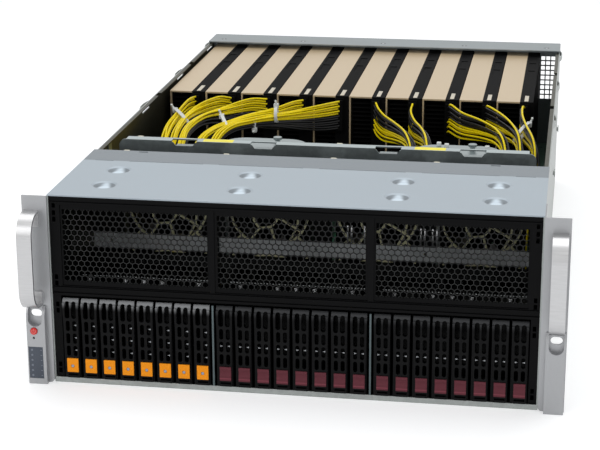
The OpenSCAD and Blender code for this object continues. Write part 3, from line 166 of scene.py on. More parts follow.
# %% A node tree
class Tree:
    """The nodes of a material or of the world."""

    def __init__(self, tree):
        self.tree = tree

    def node(self, kind, settings=None, sockets=None, output=0):
        """A new node: its settings, then its sockets' values or links."""
        made = self.tree.nodes.new("ShaderNode" + kind)
        for key, value in (settings or {}).items():
            setattr(made, key, value)
        for key, value in (sockets or {}).items():
            self.feed(made.inputs[key], value)
        return Wire(self, made.outputs[output])

    def feed(self, socket, value):
        """Link a wire to a socket, or give the socket a plain value."""
        if isinstance(value, Wire):
            self.tree.links.new(value.socket, socket)
        else:
            socket.default_value = value


def opaque(colour):
    """Three numbers with a fourth for opacity. A wire stays as it is."""
    return (*colour, 1.0) if isinstance(colour, tuple) else colour


def shade(colour, factor):
    """A lighter or darker likeness of a colour."""
    return tuple(min(1.0, c * factor) for c in colour)


# %% A finish
class Finish(Tree):
    """One material: a Principled shader and the nodes that feed it."""

    def __init__(self, name, colour, roughness, metallic=0.0, **fixed):
        self.material = bpy.data.materials.new(name)
        self.material.use_nodes = True
        super().__init__(self.material.node_tree)
        self.shader = self.tree.nodes["Principled BSDF"]
        self.set("Base Color", opaque(colour))
        self.set("Roughness", roughness)
        self.set("Metallic", metallic)
        for socket, value in fixed.items():
            self.set(socket.replace("_", " "), value)
        self.material.diffuse_color = opaque(colour)
        print("finish:", name)

    def set(self, socket, value):
        """Feed one input of the shader."""
        self.feed(self.shader.inputs[socket], value)

    def place(self):
        """The point on the object, in metres, as a vector."""
        return self.node("TexCoord", output="Object")

    def along(self):
        """The three parts of that point."""
        parts = self.node("SeparateXYZ", sockets={0: self.place()}).socket.node
        return [Wire(self, part) for part in parts.outputs]

    def stretched(self, x, y, z):
        """The point with each axis scaled, for grain that runs one way."""
        return self.node("Mapping", sockets={"Vector": self.place(), "Scale": (x, y, z)})

    def noise(self, scale, detail=3.0, where=None):
        """Soft clouds, scale of them to the metre."""
        return self.node("TexNoise", sockets={
            "Vector": where or self.place(), "Scale": scale, "Detail": detail})

    def crystals(self, scale):
        """Small cells, each with a tone of its own."""
        cells = self.node("TexVoronoi", sockets={
            "Vector": self.place(), "Scale": scale}, output="Color")
        return self.node("SeparateColor", sockets={0: cells})

    def mix(self, factor, first, second):
        """One colour turning into another. A colour is three numbers or a wire."""
        return self.node("Mix", {"data_type": "RGBA"}, {
            0: factor, 6: opaque(first), 7: opaque(second)}, output=2)

    def ramp(self, value, low, high):
        """A smooth step from 0 at low to 1 at high."""
        return self.node("MapRange", {"interpolation_type": "SMOOTHSTEP"}, {
            "Value": value, "From Min": low, "From Max": high})

    def bump(self, height, depth, strength):
        """Small relief, depth metres high."""
        self.set("Normal", self.node("Bump", sockets={
            "Strength": strength, "Distance": depth, "Height": height}))


# %% [markdown]
# ## Sheet metal
# Zinc-coated sheet is grey with faint crystals, a few millimetres across, that
# catch light at different strengths. A Voronoi texture gives the crystals, and
# a broad noise gives the cloudiness of real sheet. Painted or lacquered covers
# have a finer, evener grain, so they get only noise. All of it stays weak: from
# a metre away the sheet reads as one colour.

# %% A sheet finish
def sheet_metal(name, colour, roughness=0.42, metallic=0.85, crystals=0.06, cloud=0.10,
                second=None, region=None, painted_light=None, gloss=0.5):
    """Zinc-coated sheet, with a second colour inside a region of it."""
    finish = Finish(name, colour, roughness, metallic, Specular_IOR_Level=gloss)
    grain = finish.crystals(320.0)
    haze = finish.noise(14.0, 4.0)
    tone = (grain * crystals + haze * cloud) / (crystals + cloud)

    def mottled(base):
        return finish.mix(tone, shade(base, 1 - crystals - cloud),
                          shade(base, 1 + crystals + cloud))

    coat = mottled(colour)
    if region:
        coat = finish.mix(region(*finish.along()), coat, mottled(second))
    # Painted light: a lighter copy of the colour as highlight and a darker one as shade, where
    # their masks say.
    if painted_light:
        bright, painted_shade = painted_light(finish)
        coat = finish.mix(bright, coat, shade(colour, 1.8))
        coat = finish.mix(painted_shade, coat, shade(colour, 0.5))
    finish.set("Base Color", coat)
    finish.set("Roughness", roughness - 0.05 + haze * 0.08 + grain * 0.05)
    finish.bump(finish.noise(900.0, 2.0), 0.00004, 0.25)
    return finish.material


# %% [markdown]
# ### Painted light in the stamped hollows of the cover
# The cover has eight round dimples. The solid has their shape, but under soft
# light a shallow hollow hardly shows, so a painted highlight on its floor and
# painted shade on its flank are drawn too. The distance from the middle of a
# hollow gives both as smooth ramps.

# %% Hollows
DIMPLE_X = (-176, -52, 89, 175)
DIMPLE_Y = (38, 88.5)
DIMPLE_R = 10.5 * MM


def dimple_light_and_shade(finish):
    """Two masks over the cover: painted highlights on the floors and painted shade on the flanks.
    """
    x, y, z = finish.along()
    bright, painted_shade = 0.0, 0.0
    for spot in DIMPLE_X:
        for row in DIMPLE_Y:
            dx = (x - spot * MM) / DIMPLE_R
            dy = (y - (FRONT + row * MM)) / DIMPLE_R
            inside = finish.ramp(dx * dx + dy * dy, 1.0, 0.8)
            middle = finish.ramp(dx * dx + dy * 0.25, 0.45, 0.05)
            bright = bright + inside * middle
            painted_shade = painted_shade + inside * (1 - middle)
    return bright, painted_shade


# %% [markdown]
# ### Labels and painted light on the beam
# The beam's flange faces the lamp and its web does not, so the flange gets a
# painted highlight and the fold at its rear edge a painted shade. Two blank
# yellow labels are stuck on the flange. Each of these is a band of the sheet, so
# a few comparisons of x, y and z pick it out. `SKIN` is how near the top a point
# has to be to lie on the flange.

# %% Masks on the beam
SKIN = 0.3 * MM
LABEL_X = (-106 * MM, 103 * MM)
LABEL_REACH = 15 * MM
LABEL_Y = (1.2 * MM, 11.2 * MM)
FOLD_Y = (11.3 * MM, 12.1 * MM)
FLANGE_HIGHLIGHT = 0.45
beam_low, beam_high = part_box("cross_beam")


def between(value, limits, start=0.0):
    """One where the value lies between two limits, counted from a start."""
    return (value > start + limits[0]) * (value < start + limits[1])


def labels(x, y, z):
    """Two blank labels on the flange of the beam."""
    across = sum((x - spot) * (x - spot) < LABEL_REACH ** 2 for spot in LABEL_X)
    return across * (z > beam_high.z - SKIN) * between(y, LABEL_Y, beam_low.y)


def flange_light_and_shade(finish):
    """A painted highlight on the flange of the beam, and painted shade along its rear edge."""
    x, y, z = finish.along()
    flange = (z > beam_high.z - SKIN) * (1 - labels(x, y, z))
    edge = flange * between(y, FOLD_Y, beam_low.y)
    return flange * FLANGE_HIGHLIGHT * (1 - edge), edge


# %% [markdown]
# ### Painted shade round the screws of the rear flange
# Five screw holes stand at equal steps along the rear flange, with a pressed
# ring round each, painted dark as its shade. The fraction of x over the step
# repeats one ring for all five.

# %% Mask on the rear flange
SCREW_GAP = (HALF - 16.5) / 2 * MM
SCREW_ROW = 31 * MM
RING_R = (1.9 * MM, 3.3 * MM)
rear_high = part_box("rear_panel")[1]


def screw_ring_shade(x, y, z):
    """A dark ring of painted shade round each screw hole of the rear flange."""
    across = ((x / SCREW_GAP + 0.5).fraction() - 0.5) * SCREW_GAP
    deep = y - (rear_high.y - SCREW_ROW)
    far = across * across + deep * deep
    return between(far, [r ** 2 for r in RING_R]) * (z > rear_high.z - SKIN)


# %% [markdown]
# ### The sheets of the server
# Inside the tray the steel is painted a dark olive, the shade within the box,
# and behind the front edge of the drive cage it is painted near black, the shade
# behind the grilles. The fan wall is painted near black too, as shade, apart
# from one silver bar across it, painted near white as its highlight. The rear
# part of the cover, behind its seam, is a darker grey.

# %% The sheets
TRAY_INNER = (HALF - 1.1) * MM
TRAY_FLOOR = 1.3 * MM
COVER_SEAM = FRONT + 119 * MM
CAGE_EDGE = FRONT + 1.2 * MM
BAR_Z = (84.9 * MM, 99.1 * MM)
# Inside the walls of the tray the second colour is painted shade.
TRAY = sheet_metal("zinc sheet of the tray", (0.33, 0.35, 0.34), second=(0.045, 0.045, 0.030),
                   region=lambda x, y, z: between(x, (-TRAY_INNER, TRAY_INNER))
                   * (z > TRAY_FLOOR) * (y > FRONT + 2 * MM))
REAR = sheet_metal("zinc sheet of the rear", (0.25, 0.28, 0.29), second=(0.06, 0.065, 0.07),
                   region=screw_ring_shade)
BEAM = sheet_metal("zinc sheet of the beam", (0.27, 0.31, 0.315), 0.34, second=(0.82, 0.72, 0.01),
                   region=labels, painted_light=flange_light_and_shade)
# Behind its front edge the deck is painted near black: painted shade behind the grilles.
CAGE = sheet_metal("sheet of the drive cage", (0.12, 0.15, 0.155), 0.45, 0.0,
                   second=(0.004, 0.004, 0.0045), region=lambda x, y, z: y > CAGE_EDGE,
                   gloss=0.03)
# The fan wall is painted near black as shade, and its silver bar near white as a painted
# highlight.
WALL = sheet_metal("sheet of the fan wall", (0.84, 0.90, 0.90), 0.35, 0.2, 0.1, 0.3,
                   second=(0.006, 0.0065, 0.0065), gloss=0.1,
                   region=lambda x, y, z: 1 - between(z, BAR_Z))
CASE = sheet_metal("bright zinc sheet", (0.50, 0.52, 0.53), 0.35, 0.9)
COVER = sheet_metal("coated cover", (0.34, 0.39, 0.43), 0.44, 0.35, 0.02, 0.03,
                    second=(0.190, 0.215, 0.235), region=lambda x, y, z: y > COVER_SEAM,
                    painted_light=dimple_light_and_shade)

# %% [markdown]
# ## Aluminium
# The ears are cast or extruded and bead-blasted, so they are silver without a
# direction. The handles are brushed along their length: noise squeezed across
# the strap and stretched along it makes hairlines in both colour and roughness.

# %% Aluminium finishes
def blasted(name, colour, metallic=0.9):
    finish = Finish(name, colour, 0.38, metallic)
    grit = finish.noise(1500.0, 2.0)
    finish.set("Roughness", 0.30 + grit * 0.16)
    finish.set("Base Color", finish.mix(grit, shade(colour, 0.94), shade(colour, 1.06)))
    finish.bump(grit, 0.00005, 0.3)
    return finish.material


def brushed(name, colour, stretch):
    finish = Finish(name, colour, 0.34, 1.0)
    lines = finish.noise(1.0, 3.0, finish.stretched(*stretch))
    finish.set("Roughness", 0.24 + lines * 0.2)
    finish.set("Base Color", finish.mix(lines, shade(colour, 0.88), shade(colour, 1.10)))
    finish.bump(lines, 0.00003, 0.25)
    return finish.material


EAR = blasted("silver ear", (0.36, 0.365, 0.375), 0.75)
HANDLE = brushed("brushed handle", (0.50, 0.50, 0.505), (60.0, 60.0, 900.0))
FINS = brushed("heat sink fins", (0.70, 0.71, 0.72), (900.0, 30.0, 60.0))
CHAMPAGNE = blasted("champagne sheet", (0.53, 0.415, 0.265), 0.3)

# %% [markdown]
# ## Black plastic and paint
# Black mouldings are never quite black. They have a spark-eroded grain that
# breaks up highlights, and their edges look lighter because they turn towards
# the light. A fine noise drives both roughness and a shallow bump.

# %% Black finishes
def moulded(name, colour, roughness, grain=1400.0, depth=0.00005, gloss=0.4):
    finish = Finish(name, colour, roughness, Specular_IOR_Level=gloss)
    grit = finish.noise(grain, 2.0)
    finish.set("Roughness", roughness - 0.06 + grit * 0.12)
    finish.set("Base Color", finish.mix(grit, shade(colour, 0.75), shade(colour, 1.25)))
    finish.bump(grit, depth, 0.35)
    return finish.material


FRAME = moulded("black frame", (0.0022, 0.0022, 0.0025), 0.30, gloss=0.07)
MESH = moulded("black grille", (0.010, 0.0105, 0.0105), 0.40, gloss=0.2)
FAN = moulded("fan plastic", (0.002, 0.002, 0.0022), 0.5, gloss=0.04)
CARD = moulded("card black", (0.005, 0.005, 0.0052), 0.6, gloss=0.02)
BLACK_WIRE = moulded("black wire", (0.006, 0.006, 0.0065), 0.36, 600.0, gloss=0.25)
TIE = moulded("cable tie", (0.62, 0.64, 0.62), 0.35, 300.0)
YELLOW_WIRE = moulded("yellow wire", (0.84, 0.64, 0.001), 0.42, 600.0, gloss=0.2)
CREAM = moulded("cream clip", (0.72, 0.68, 0.52), 0.5)
BUTTON = moulded("red button", (0.62, 0.03, 0.025), 0.35)
GUARD = moulded("guard wire", (0.90, 0.80, 0.50), 0.35)
SCREW = brushed("screw", (0.72, 0.73, 0.74), (400.0, 400.0, 400.0))

# %% [markdown]
# ## A drive carrier in one mesh
# Each carrier comes from CAD as one solid, but its tab is orange or maroon, and
# a grey highlight is painted along its upper edge, brighter on the drives with
# orange tabs. A maroon tab also gets a painted highlight along its fold. The
# colour is masked by place: the tab is the only part that stands further forward
# than the face, and the painted highlight on the edge depends on height alone. A
# mask is a comparison, so it reads like the sentence it is.

# %% Carrier finish
nose_low, nose_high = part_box("drive_09")
CARRIER_BLACK = (0.0025, 0.0025, 0.0028)
FACE_Y = nose_low.y + 1.4 * MM
CAP_BACK = FACE_Y + 4.5 * MM
CAP_Z = (nose_high.z - 10 * MM, nose_high.z - 1 * MM)
TAB_Z = (5.6 * MM, 19.6 * MM)
TAB_FOLD_Z = (7.6 * MM, 8.6 * MM)
RIDGES = 5200.0


def carrier(name, tab_colour, cap_highlight_colour, ridges_and_fold_highlight):
    """Black plastic with a coloured tab, a painted highlight along the fold of a maroon tab, and
    a painted grey highlight along the upper edge.
    """
    finish = Finish(name, CARRIER_BLACK, 0.30, Specular_IOR_Level=0.1)
    x, y, z = finish.along()
    tab = (y < FACE_Y - 0.1 * MM) * between(z, TAB_Z, nose_low.z)
    # The grey of the upper edge is a painted highlight.
    cap_highlight = finish.ramp(z, *CAP_Z) * (y < CAP_BACK)
    grit = finish.noise(1400.0, 2.0)
    plain = finish.mix(grit, shade(CARRIER_BLACK, 0.8), shade(CARRIER_BLACK, 1.3))
    body = finish.mix(cap_highlight, plain, cap_highlight_colour)
    # A lighter line along the fold of the tab is a painted highlight; the same weight sets the
    # ridges' bump.
    fold_highlight = between(z, TAB_FOLD_Z, nose_low.z) * ridges_and_fold_highlight
    tab_with_fold_highlight = finish.mix(fold_highlight, tab_colour, shade(tab_colour, 2.2))
    finish.set("Base Color", finish.mix(tab, body, tab_with_fold_highlight))
    finish.set("Roughness", 0.30 + grit * 0.12 + tab * 0.1)
    lines = (z * RIDGES).sine() * tab * ridges_and_fold_highlight
    finish.bump(grit * 0.4 + lines, 0.0001, 0.4)
    return finish.material


# The last colour of each is the painted highlight of the upper edge, brighter on the orange-tab
# drives.
ORANGE_CARRIER = carrier("carrier with orange tab", (0.98, 0.33, 0.014),
                         (0.26, 0.265, 0.27), 0.0)
MAROON_CARRIER = carrier("carrier with maroon tab", (0.125, 0.032, 0.042),
                         (0.045, 0.046, 0.048), 0.6)

# %% [markdown]
# ## Circuit boards
# Solder mask is glossy green over copper that shows as slightly lighter tracks.
# Tracks run along the board's axes, so the joints of a brick texture stand in
# for them better than any noise would.

# %% Board finish
def board(name, colour):
    finish = Finish(name, colour, 0.3, Coat_Weight=0.3)
    tracks = finish.node("TexBrick", {"offset": 0.37}, {
        "Vector": finish.stretched(60.0, 60.0, 60.0), "Scale": 3.0,
        "Mortar Size": 0.012, "Color1": opaque((0, 0, 0)),
        "Color2": opaque((0.15, 0.15, 0.15)), "Mortar": opaque((1, 1, 1))})
    finish.set("Base Color", finish.mix(tracks, colour, shade(colour, 2.4)))
    finish.bump(tracks, 0.00005, 0.5)
    return finish.material


BOARD = board("green board", (0.010, 0.050, 0.020))
MEMORY = board("memory board", (0.008, 0.045, 0.022))

# %% [markdown]
# ## Dressing the solids
# The solids keep their shapes, and each takes the finish of what it is made of.
# Modules that come in numbers are told by the start of their names: the first
# eight drives have orange tabs, and the rest have maroon ones.

# %% Finishes on the CAD nodes
ORANGE_DRIVES = 8
looks = {
    "base_tray": TRAY, "rear_panel": REAR, "card_shelf": TRAY, "front_cover": COVER,
    "cross_beam": BEAM, "front_frame": FRAME, "mesh_grilles": MESH,
    "drive_cage": CAGE, "backplane": BOARD, "fan_wall": WALL, "fan_housings": FAN,
    "fan_guards": GUARD, "left_ear": EAR, "right_ear": EAR, "ear_handles": HANDLE,
    "main_board": BOARD, "cpu_heat_sinks": FINS, "memory_modules": MEMORY,
    "card_board": BOARD, "card_cores": CARD, "card_shrouds": CHAMPAGNE,
    "power_board": BOARD, "power_harness": YELLOW_WIRE, "power_button": BUTTON}
for node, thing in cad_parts.items():
    if node.startswith("drive_") and node != "drive_cage":
        look = ORANGE_CARRIER if int(node[-2:]) <= ORANGE_DRIVES else MAROON_CARRIER
    elif node.startswith("fan_rotor"):
        look = FAN
    elif node.startswith("power_supply"):
        look = CASE
    else:
        look = looks[node]
    thing.data.materials.clear()
    thing.data.materials.append(look)
print("finishes on", len(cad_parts), "nodes")

# %% [markdown]
# ## A small workshop
# Added pieces are meshes made face by face. `Piece` gathers boxes, rods and
# swept wires into one object, bevels what needs it, and sends it off to ride on
# a body of the model. Keeping many small likenesses in one object, such as all
# the screws, keeps the scene light.

# %% The Piece class
class Piece:
    """One added piece: a mesh in the making, its finish, and the body it rides on."""

    def __init__(self, name, look, slot, body="chassis"):
        self.name, self.look, self.slot, self.body = name, look, slot, body
        self.mesh = bmesh.new()

    def box(self, low, high, bevel=0.0):
        """A box between two points given in metres, its edges rounded."""
        size = high - low
        made = bmesh.ops.create_cube(self.mesh, size=1.0)["verts"]
        bmesh.ops.scale(self.mesh, vec=size, verts=made)
        bmesh.ops.translate(self.mesh, vec=(low + high) / 2, verts=made)
        if bevel:
            edges = {e for v in made for e in v.link_edges}
            bmesh.ops.bevel(self.mesh, geom=list(edges), offset=bevel * MM, segments=2,
                            affect="EDGES", profile=0.5)

    def lathe(self, centre, axis, outline, sides=24):
        """An outline of (radius, height) in millimetres, turned about an axis."""
        turned = Vector(axis).to_track_quat("Z", "Y").to_matrix()
        rings = []
        for radius, height in outline:
            ring = []
            for k in range(sides):
                a = 2 * math.pi * k / sides
                spot = Vector((radius * math.cos(a), radius * math.sin(a), height)) * MM
                ring.append(self.mesh.verts.new(centre + turned @ spot))
            rings.append(ring)
        self.skin(rings, True)

    def sweep(self, path, radius, sides=8):
        """A round wire along points in metres, with flat ends."""
        rings = []
        for spot, side, up in travelling(path):
            rings.append([self.mesh.verts.new(
                spot + radius * MM * (math.cos(a) * side + math.sin(a) * up))
                for a in (2 * math.pi * k / sides for k in range(sides))])
        self.skin(rings, True)

    def skin(self, rings, capped):
        """Faces between rings of points, with the ends closed if asked."""
        for first, second in zip(rings, rings[1:]):
            count = len(first)
            for k in range(count):
                n = (k + 1) % count
                self.mesh.faces.new((first[k], first[n], second[n], second[k]))
        if capped:
            self.mesh.faces.new(list(reversed(rings[0])))
            self.mesh.faces.new(rings[-1])

    def prism(self, outline, push):
        """A flat outline of points in metres, pushed along a vector."""
        first = [self.mesh.verts.new(p) for p in outline]
        second = [self.mesh.verts.new(p + push) for p in outline]
        self.skin([first, second], True)

    def done(self, smooth=True):
        """The finished object, riding on its body."""
        bmesh.ops.recalc_face_normals(self.mesh, faces=self.mesh.faces)
        data = bpy.data.meshes.new(self.name)
        self.mesh.to_mesh(data)
        self.mesh.free()
        if smooth:
            data.shade_smooth()
            data.set_sharp_from_angle(angle=math.radians(35))
        data.materials.append(self.look)
        made = bpy.data.objects.new(self.name, data)
        bpy.context.scene.collection.objects.link(made)
        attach(made, self.body)
        print(self.name, len(data.polygons), "faces")
        return made


def travelling(path):
    """Each point of a path with two directions across it that never spin."""
    ahead = [(b - a).normalized() for a, b in zip(path, path[1:])]
    ahead = [ahead[0]] + [(a + b).normalized() for a, b in zip(ahead, ahead[1:])] + [ahead[-1]]
    side = Vector((1, 0, 0))
    stops = []
    for spot, along in zip(path, ahead):
        side = (side - along * side.dot(along)).normalized()
        stops.append((spot, side, along.cross(side)))
    return stops


# %% [markdown]
# ## Grilles with six-sided holes
# The steel behind the three windows is punched with close hexagons. Cutting a
# thousand holes with booleans would be slow and messy. Instead each hole brings
# its own rim: a hexagonal cell, as wide as the spacing, with the hole taken out
# of it. Six four-sided faces make one rim, the rims meet exactly, and pushing
# them back gives the sheet its thickness.

# %% Hexagon cells
grille_low, grille_high = span("mesh_grilles")
half_frame = span("front_frame")[1].x
bay_pitch = span("drive_09")[0].x - span("drive_01")[0].x
UPRIGHT = 4.8
WINDOW_SIDE = 9.3
REBATE = 2.0
PLAIN_EDGE = 2.0
HOLE_PITCH = 5.5
HOLE_WEB = 0.75
field_low = grille_low.z + REBATE + PLAIN_EDGE
field_high = grille_high.z - REBATE - PLAIN_EDGE
windows = [(-half_frame + WINDOW_SIDE, -bay_pitch / 2 - UPRIGHT / 2),
           (-bay_pitch / 2 + UPRIGHT / 2, bay_pitch / 2 - UPRIGHT / 2),
           (bay_pitch / 2 + UPRIGHT / 2, half_frame - WINDOW_SIDE)]


def corners(x, z, radius):
    """The six corners of a hexagon that stands on a point."""
    return [(x + radius * math.cos(math.radians(60 * k + 30)),
             z + radius * math.sin(math.radians(60 * k + 30))) for k in range(6)]


def hexagon_sheet(grille, border, x0, x1):
    """One perforated sheet: a field of rims inside a plain border."""
    front, back, z0, z1 = grille_low.y, grille_high.y, grille_low.z, grille_high.z
    step = HOLE_PITCH * math.sqrt(3) / 2
    columns = int((x1 - x0 - 2 * REBATE - HOLE_PITCH) // HOLE_PITCH)
    rows = int((field_high - field_low - HOLE_PITCH) // step)
    left = (x0 + x1 - columns * HOLE_PITCH) / 2
    bottom = (z0 + z1 - rows * step) / 2
    cell, hole = HOLE_PITCH / math.sqrt(3), (HOLE_PITCH - HOLE_WEB) / math.sqrt(3)
    for row in range(rows + 1):
        for column in range(columns + 1 - row % 2):
            x = left + (column + row % 2 / 2) * HOLE_PITCH
            z = bottom + row * step
            outer, inner = corners(x, z, cell), corners(x, z, hole)
            for k in range(6):
                n = (k + 1) % 6
                rim = (outer[k], outer[n], inner[n], inner[k])
                for y, turn in ((front, 1), (back, -1)):
                    points = [grille.mesh.verts.new(at(p[0], y, p[1])) for p in rim]
                    grille.mesh.faces.new(points[::turn])
                wall = [at(inner[n][0], front, inner[n][1]), at(inner[k][0], front, inner[k][1]),
                        at(inner[k][0], back, inner[k][1]), at(inner[n][0], back, inner[n][1])]
                grille.mesh.faces.new([grille.mesh.verts.new(p) for p in wall])
    # Border strips lap a hair over the outer rims
    right, top = left + columns * HOLE_PITCH, bottom + rows * step
    lap = HOLE_PITCH / 2 - 0.3
    for low, high in (((x0, z0), (left - lap, z1)), ((right + lap, z0), (x1, z1)),
                      ((left - lap, z0), (right + lap, bottom - cell * 0.8)),
                      ((left - lap, top + cell * 0.8), (right + lap, z1))):
        border.box(at(low[0], front, low[1]), at(high[0], back, high[1]))


# %% The three grilles
grille = Piece("hexagon_grilles", MESH, "black_mesh")
border = Piece("grille_borders", FRAME, "black_mesh")
for left, right in windows:
    hexagon_sheet(grille, border, left - REBATE, right + REBATE)
border.done(smooth=False)
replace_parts(grille.done(smooth=False), "mesh_grilles")

# %% [markdown]
# ## Wire bundles
# Each card is fed by a dozen wires, yellow for twelve volts and black for the
# return. They leave the plug in two columns, close up into a bundle, and sweep
# over to the headers on the main board. One centre line is drawn for each
# bundle, smoothed with a Catmull-Rom curve. A pair of directions is carried
# along it without spin, and each wire keeps its own seat across the bundle.

# %% Routes of the bundles
core_low, core_high = span("card_cores")
shroud_low, shroud_high = span("card_shrouds")
CARDS = 10
SHROUD_W = 25.2
CARD_PITCH = (shroud_high.x - shroud_low.x - SHROUD_W) / (CARDS - 1)
PLUG_X = 29.6
PLUG_FACE = core_low.y
START_Z = core_high.z - 12
HEADER_TOP = 35.8
HEADER_X = [-190, -177, -164, -151, -138, 70, 96, 172, 186, 200]
HEADER_Y = 254
ROUTES = [
    [(-184, 414, 161), (-188, 382, 156), (-190, 350, 152), (-187, 316, 147),
     (-188, 290, 126), (-190, 268, 92), (-190, 256, 60)],
    [(-152, 424, 163), (-168, 402, 160), (-177, 374, 155), (-178, 342, 152),
     (-176, 312, 147), (-177, 288, 126), (-177, 268, 92), (-177, 256, 60)],
    [(-117, 428, 161), (-140, 406, 158), (-158, 384, 156), (-167, 350, 153),
     (-167, 316, 148), (-166, 290, 128), (-164, 268, 92), (-164, 256, 60)],
    [(-69, 428, 159), (-85, 408, 157), (-109, 386, 156), (-126, 362, 154),
     (-139, 334, 153), (-147, 306, 147), (-150, 284, 124), (-151, 264, 88),
     (-151, 256, 60)],
    [(-38, 426, 157), (-62, 406, 156), (-87, 386, 156), (-105, 368, 156),
     (-122, 340, 156), (-130, 308, 151), (-136, 284, 126), (-138, 264, 88),
     (-138, 256, 60)],
    [(26, 430, 154), (36, 405, 153), (52, 370, 155), (68, 335, 154),
     (78, 305, 144), (76, 282, 116), (72, 264, 84), (70, 256, 56)],
    [(62, 424, 154), (69, 395, 152), (82, 355, 154), (91, 320, 152),
     (96, 296, 136), (97, 274, 100), (96, 258, 60)],
    [(106, 430, 161), (120, 405, 159), (143, 375, 160), (161, 345, 159),
     (171, 318, 152), (174, 294, 130), (173, 270, 92), (172, 256, 60)],
    [(146, 430, 161), (161, 400, 161), (175, 365, 161), (184, 330, 157),
     (188, 300, 142), (188, 276, 106), (186, 257, 60)],
    [(183, 425, 163), (184, 400, 161), (191, 360, 160), (199, 325, 155),
     (203, 300, 143), (203, 278, 112), (200, 258, 60)]]


def smoothed(points, steps=5):
    """A Catmull-Rom curve through the points."""
    ends = [2 * points[0] - points[1]] + points + [2 * points[-1] - points[-2]]
    out = []
    for a, b, c, d in zip(ends, ends[1:], ends[2:], ends[3:]):
        for k in range(steps):
            t = k / steps
            out.append(0.5 * (2 * b + (c - a) * t + (2 * a - 5 * b + 4 * c - d) * t * t
                              + (3 * b - a - 3 * c + d) * t ** 3))
    return out + [points[-1]]


def route(i):
    """The smooth centre line of bundle i, from plug to header."""
    plug = at(shroud_low.x + i * CARD_PITCH + PLUG_X, PLUG_FACE, START_Z)
    middle = [at(*p) for p in ROUTES[i]]
    header = at(HEADER_X[i], HEADER_Y, HEADER_TOP)
    return smoothed([plug] + middle + [header])


# %% Wires in a bundle
WIRE_R = 1.05
WIRE_STEP = 2.5
PIN_TOP = 166
PIN_STEP = 2.75
PIN_STAGGER = 0.8
LEFT_BUNDLES = 5
LEFT_COLOURS = "YYYYYYKKKKKK"
LEFT_SPREAD = 110 * MM
RIGHT_COLOURS = "YKKKKKYYYYKY"
RIGHT_SPREAD = 190 * MM
SWAY_ACROSS, SWAY_UP = 0.9, 0.7
SLOW_WAVE, QUICK_WAVE = 38, 71
yellow = Piece("yellow_wires", YELLOW_WIRE, "cable_yellow")
black = Piece("black_wires", BLACK_WIRE, "cable_yellow")


def lay_wires(i):
    """The wires of one bundle, spread at the plug and packed further on."""
    stops = travelling(route(i))
    colours = LEFT_COLOURS if i < LEFT_BUNDLES else RIGHT_COLOURS
    spread = LEFT_SPREAD if i < LEFT_BUNDLES else RIGHT_SPREAD
    gone = [0.0]
    for first, second in zip(stops, stops[1:]):
        gone.append(gone[-1] + (second[0] - first[0]).length)
    print("bundle", i + 1, "is", round(gone[-1] / MM), "mm long")
    for k, colour in enumerate(colours):
        seat = ((k % 3 - 1) * WIRE_STEP, (1.5 - k // 3) * WIRE_STEP)
        pin = Vector((PIN_STAGGER * (-1) ** k, 0, PIN_TOP - PIN_STEP * k - START_Z))
        path = []
        for (spot, side, up), far in zip(stops, gone):
            open_end = max(0.0, 1 - far / spread)
            ease = open_end * open_end * (3 - 2 * open_end)
            sway = (math.sin(far * SLOW_WAVE + k * 2.1 + i)
                    + 0.6 * math.sin(far * QUICK_WAVE + k * 4.3))
            packed = ((seat[0] + SWAY_ACROSS * sway) * side
                      + (seat[1] + SWAY_UP * sway) * up)
            path.append(spot + (packed * (1 - ease) + pin * ease) * MM)
        (yellow if colour == "Y" else black).sweep(path, WIRE_R, 7)


for i in range(CARDS):
    lay_wires(i)
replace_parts(yellow.done(), "power_harness")
black.done()

# %% [markdown]
# ## Cable ties
# A nylon tie is a flat band round the bundle with a square head, and its cut
# tail sticks out. The band is a closed loop: an oval between the head end and
# the far end, as thick as the bundle. Each step of it is a small rectangle, so
# a list of four-cornered rings skinned into a tube makes the band.

# %% Ties
TIE_W = 3.4
TIE_T = 0.9
TIE_STEPS = 24
TIE_HEAD = Vector((2.6, 2.6, 2.6)) * MM
ties = Piece("cable_ties", TIE, "cable_yellow")


def tie(head, end, toward, depth):
    """A band from head to end and back, bulging by depth toward one side."""
    head, end, toward = at(*head), at(*end), Vector(toward).normalized()
    middle, half = (head + end) / 2, (head - end) / 2
    toward = (toward - half * (toward.dot(half) / half.length_squared)).normalized()
    width = half.cross(toward).normalized() * (TIE_W / 2 * MM)
    rings = []
    for k in range(TIE_STEPS):
        a = 2 * math.pi * k / TIE_STEPS
        out = (half.normalized() * math.cos(a) + toward * math.sin(a)) * TIE_T * MM
        spot = middle + half * math.cos(a) + toward * depth * MM * math.sin(a)
        rings.append([ties.mesh.verts.new(p) for p in (
            spot - width, spot + width, spot + width + out, spot - width + out)])
    rings.append(rings[0])
    ties.skin(rings, False)
    spot = head + half.normalized() * 1.5 * MM
    ties.box(spot - TIE_HEAD, spot + TIE_HEAD, 0.5)
    tip = head + (half.normalized() * 6 + toward * 3) * MM
    ties.sweep([head, tip, tip + toward * 3 * MM], 1.2, 6)


tie((-192, 390, 161), (-170, 366, 150), (0, -1, 1), 7)
tie((-138, 378, 159), (-124, 348, 150), (0, -1, 1), 6)
tie((-101, 372, 149), (-101, 380, 159), (0, -1, 1), 5)
tie((-81, 394, 168), (-80, 388, 153), (0, -1, 1), 6)
tie((192, 382, 161), (178, 352, 150), (0, -1, 1), 7)
ties.done()

# %% [markdown]
# ## Small fittings
# The eye judges scale by small things. Cream clips hold the sheets' edges,
# white blocks carry the cables on the beam, and screws sit in their holes. All
# of them stay below the top of the cover, so they add nothing to its height.

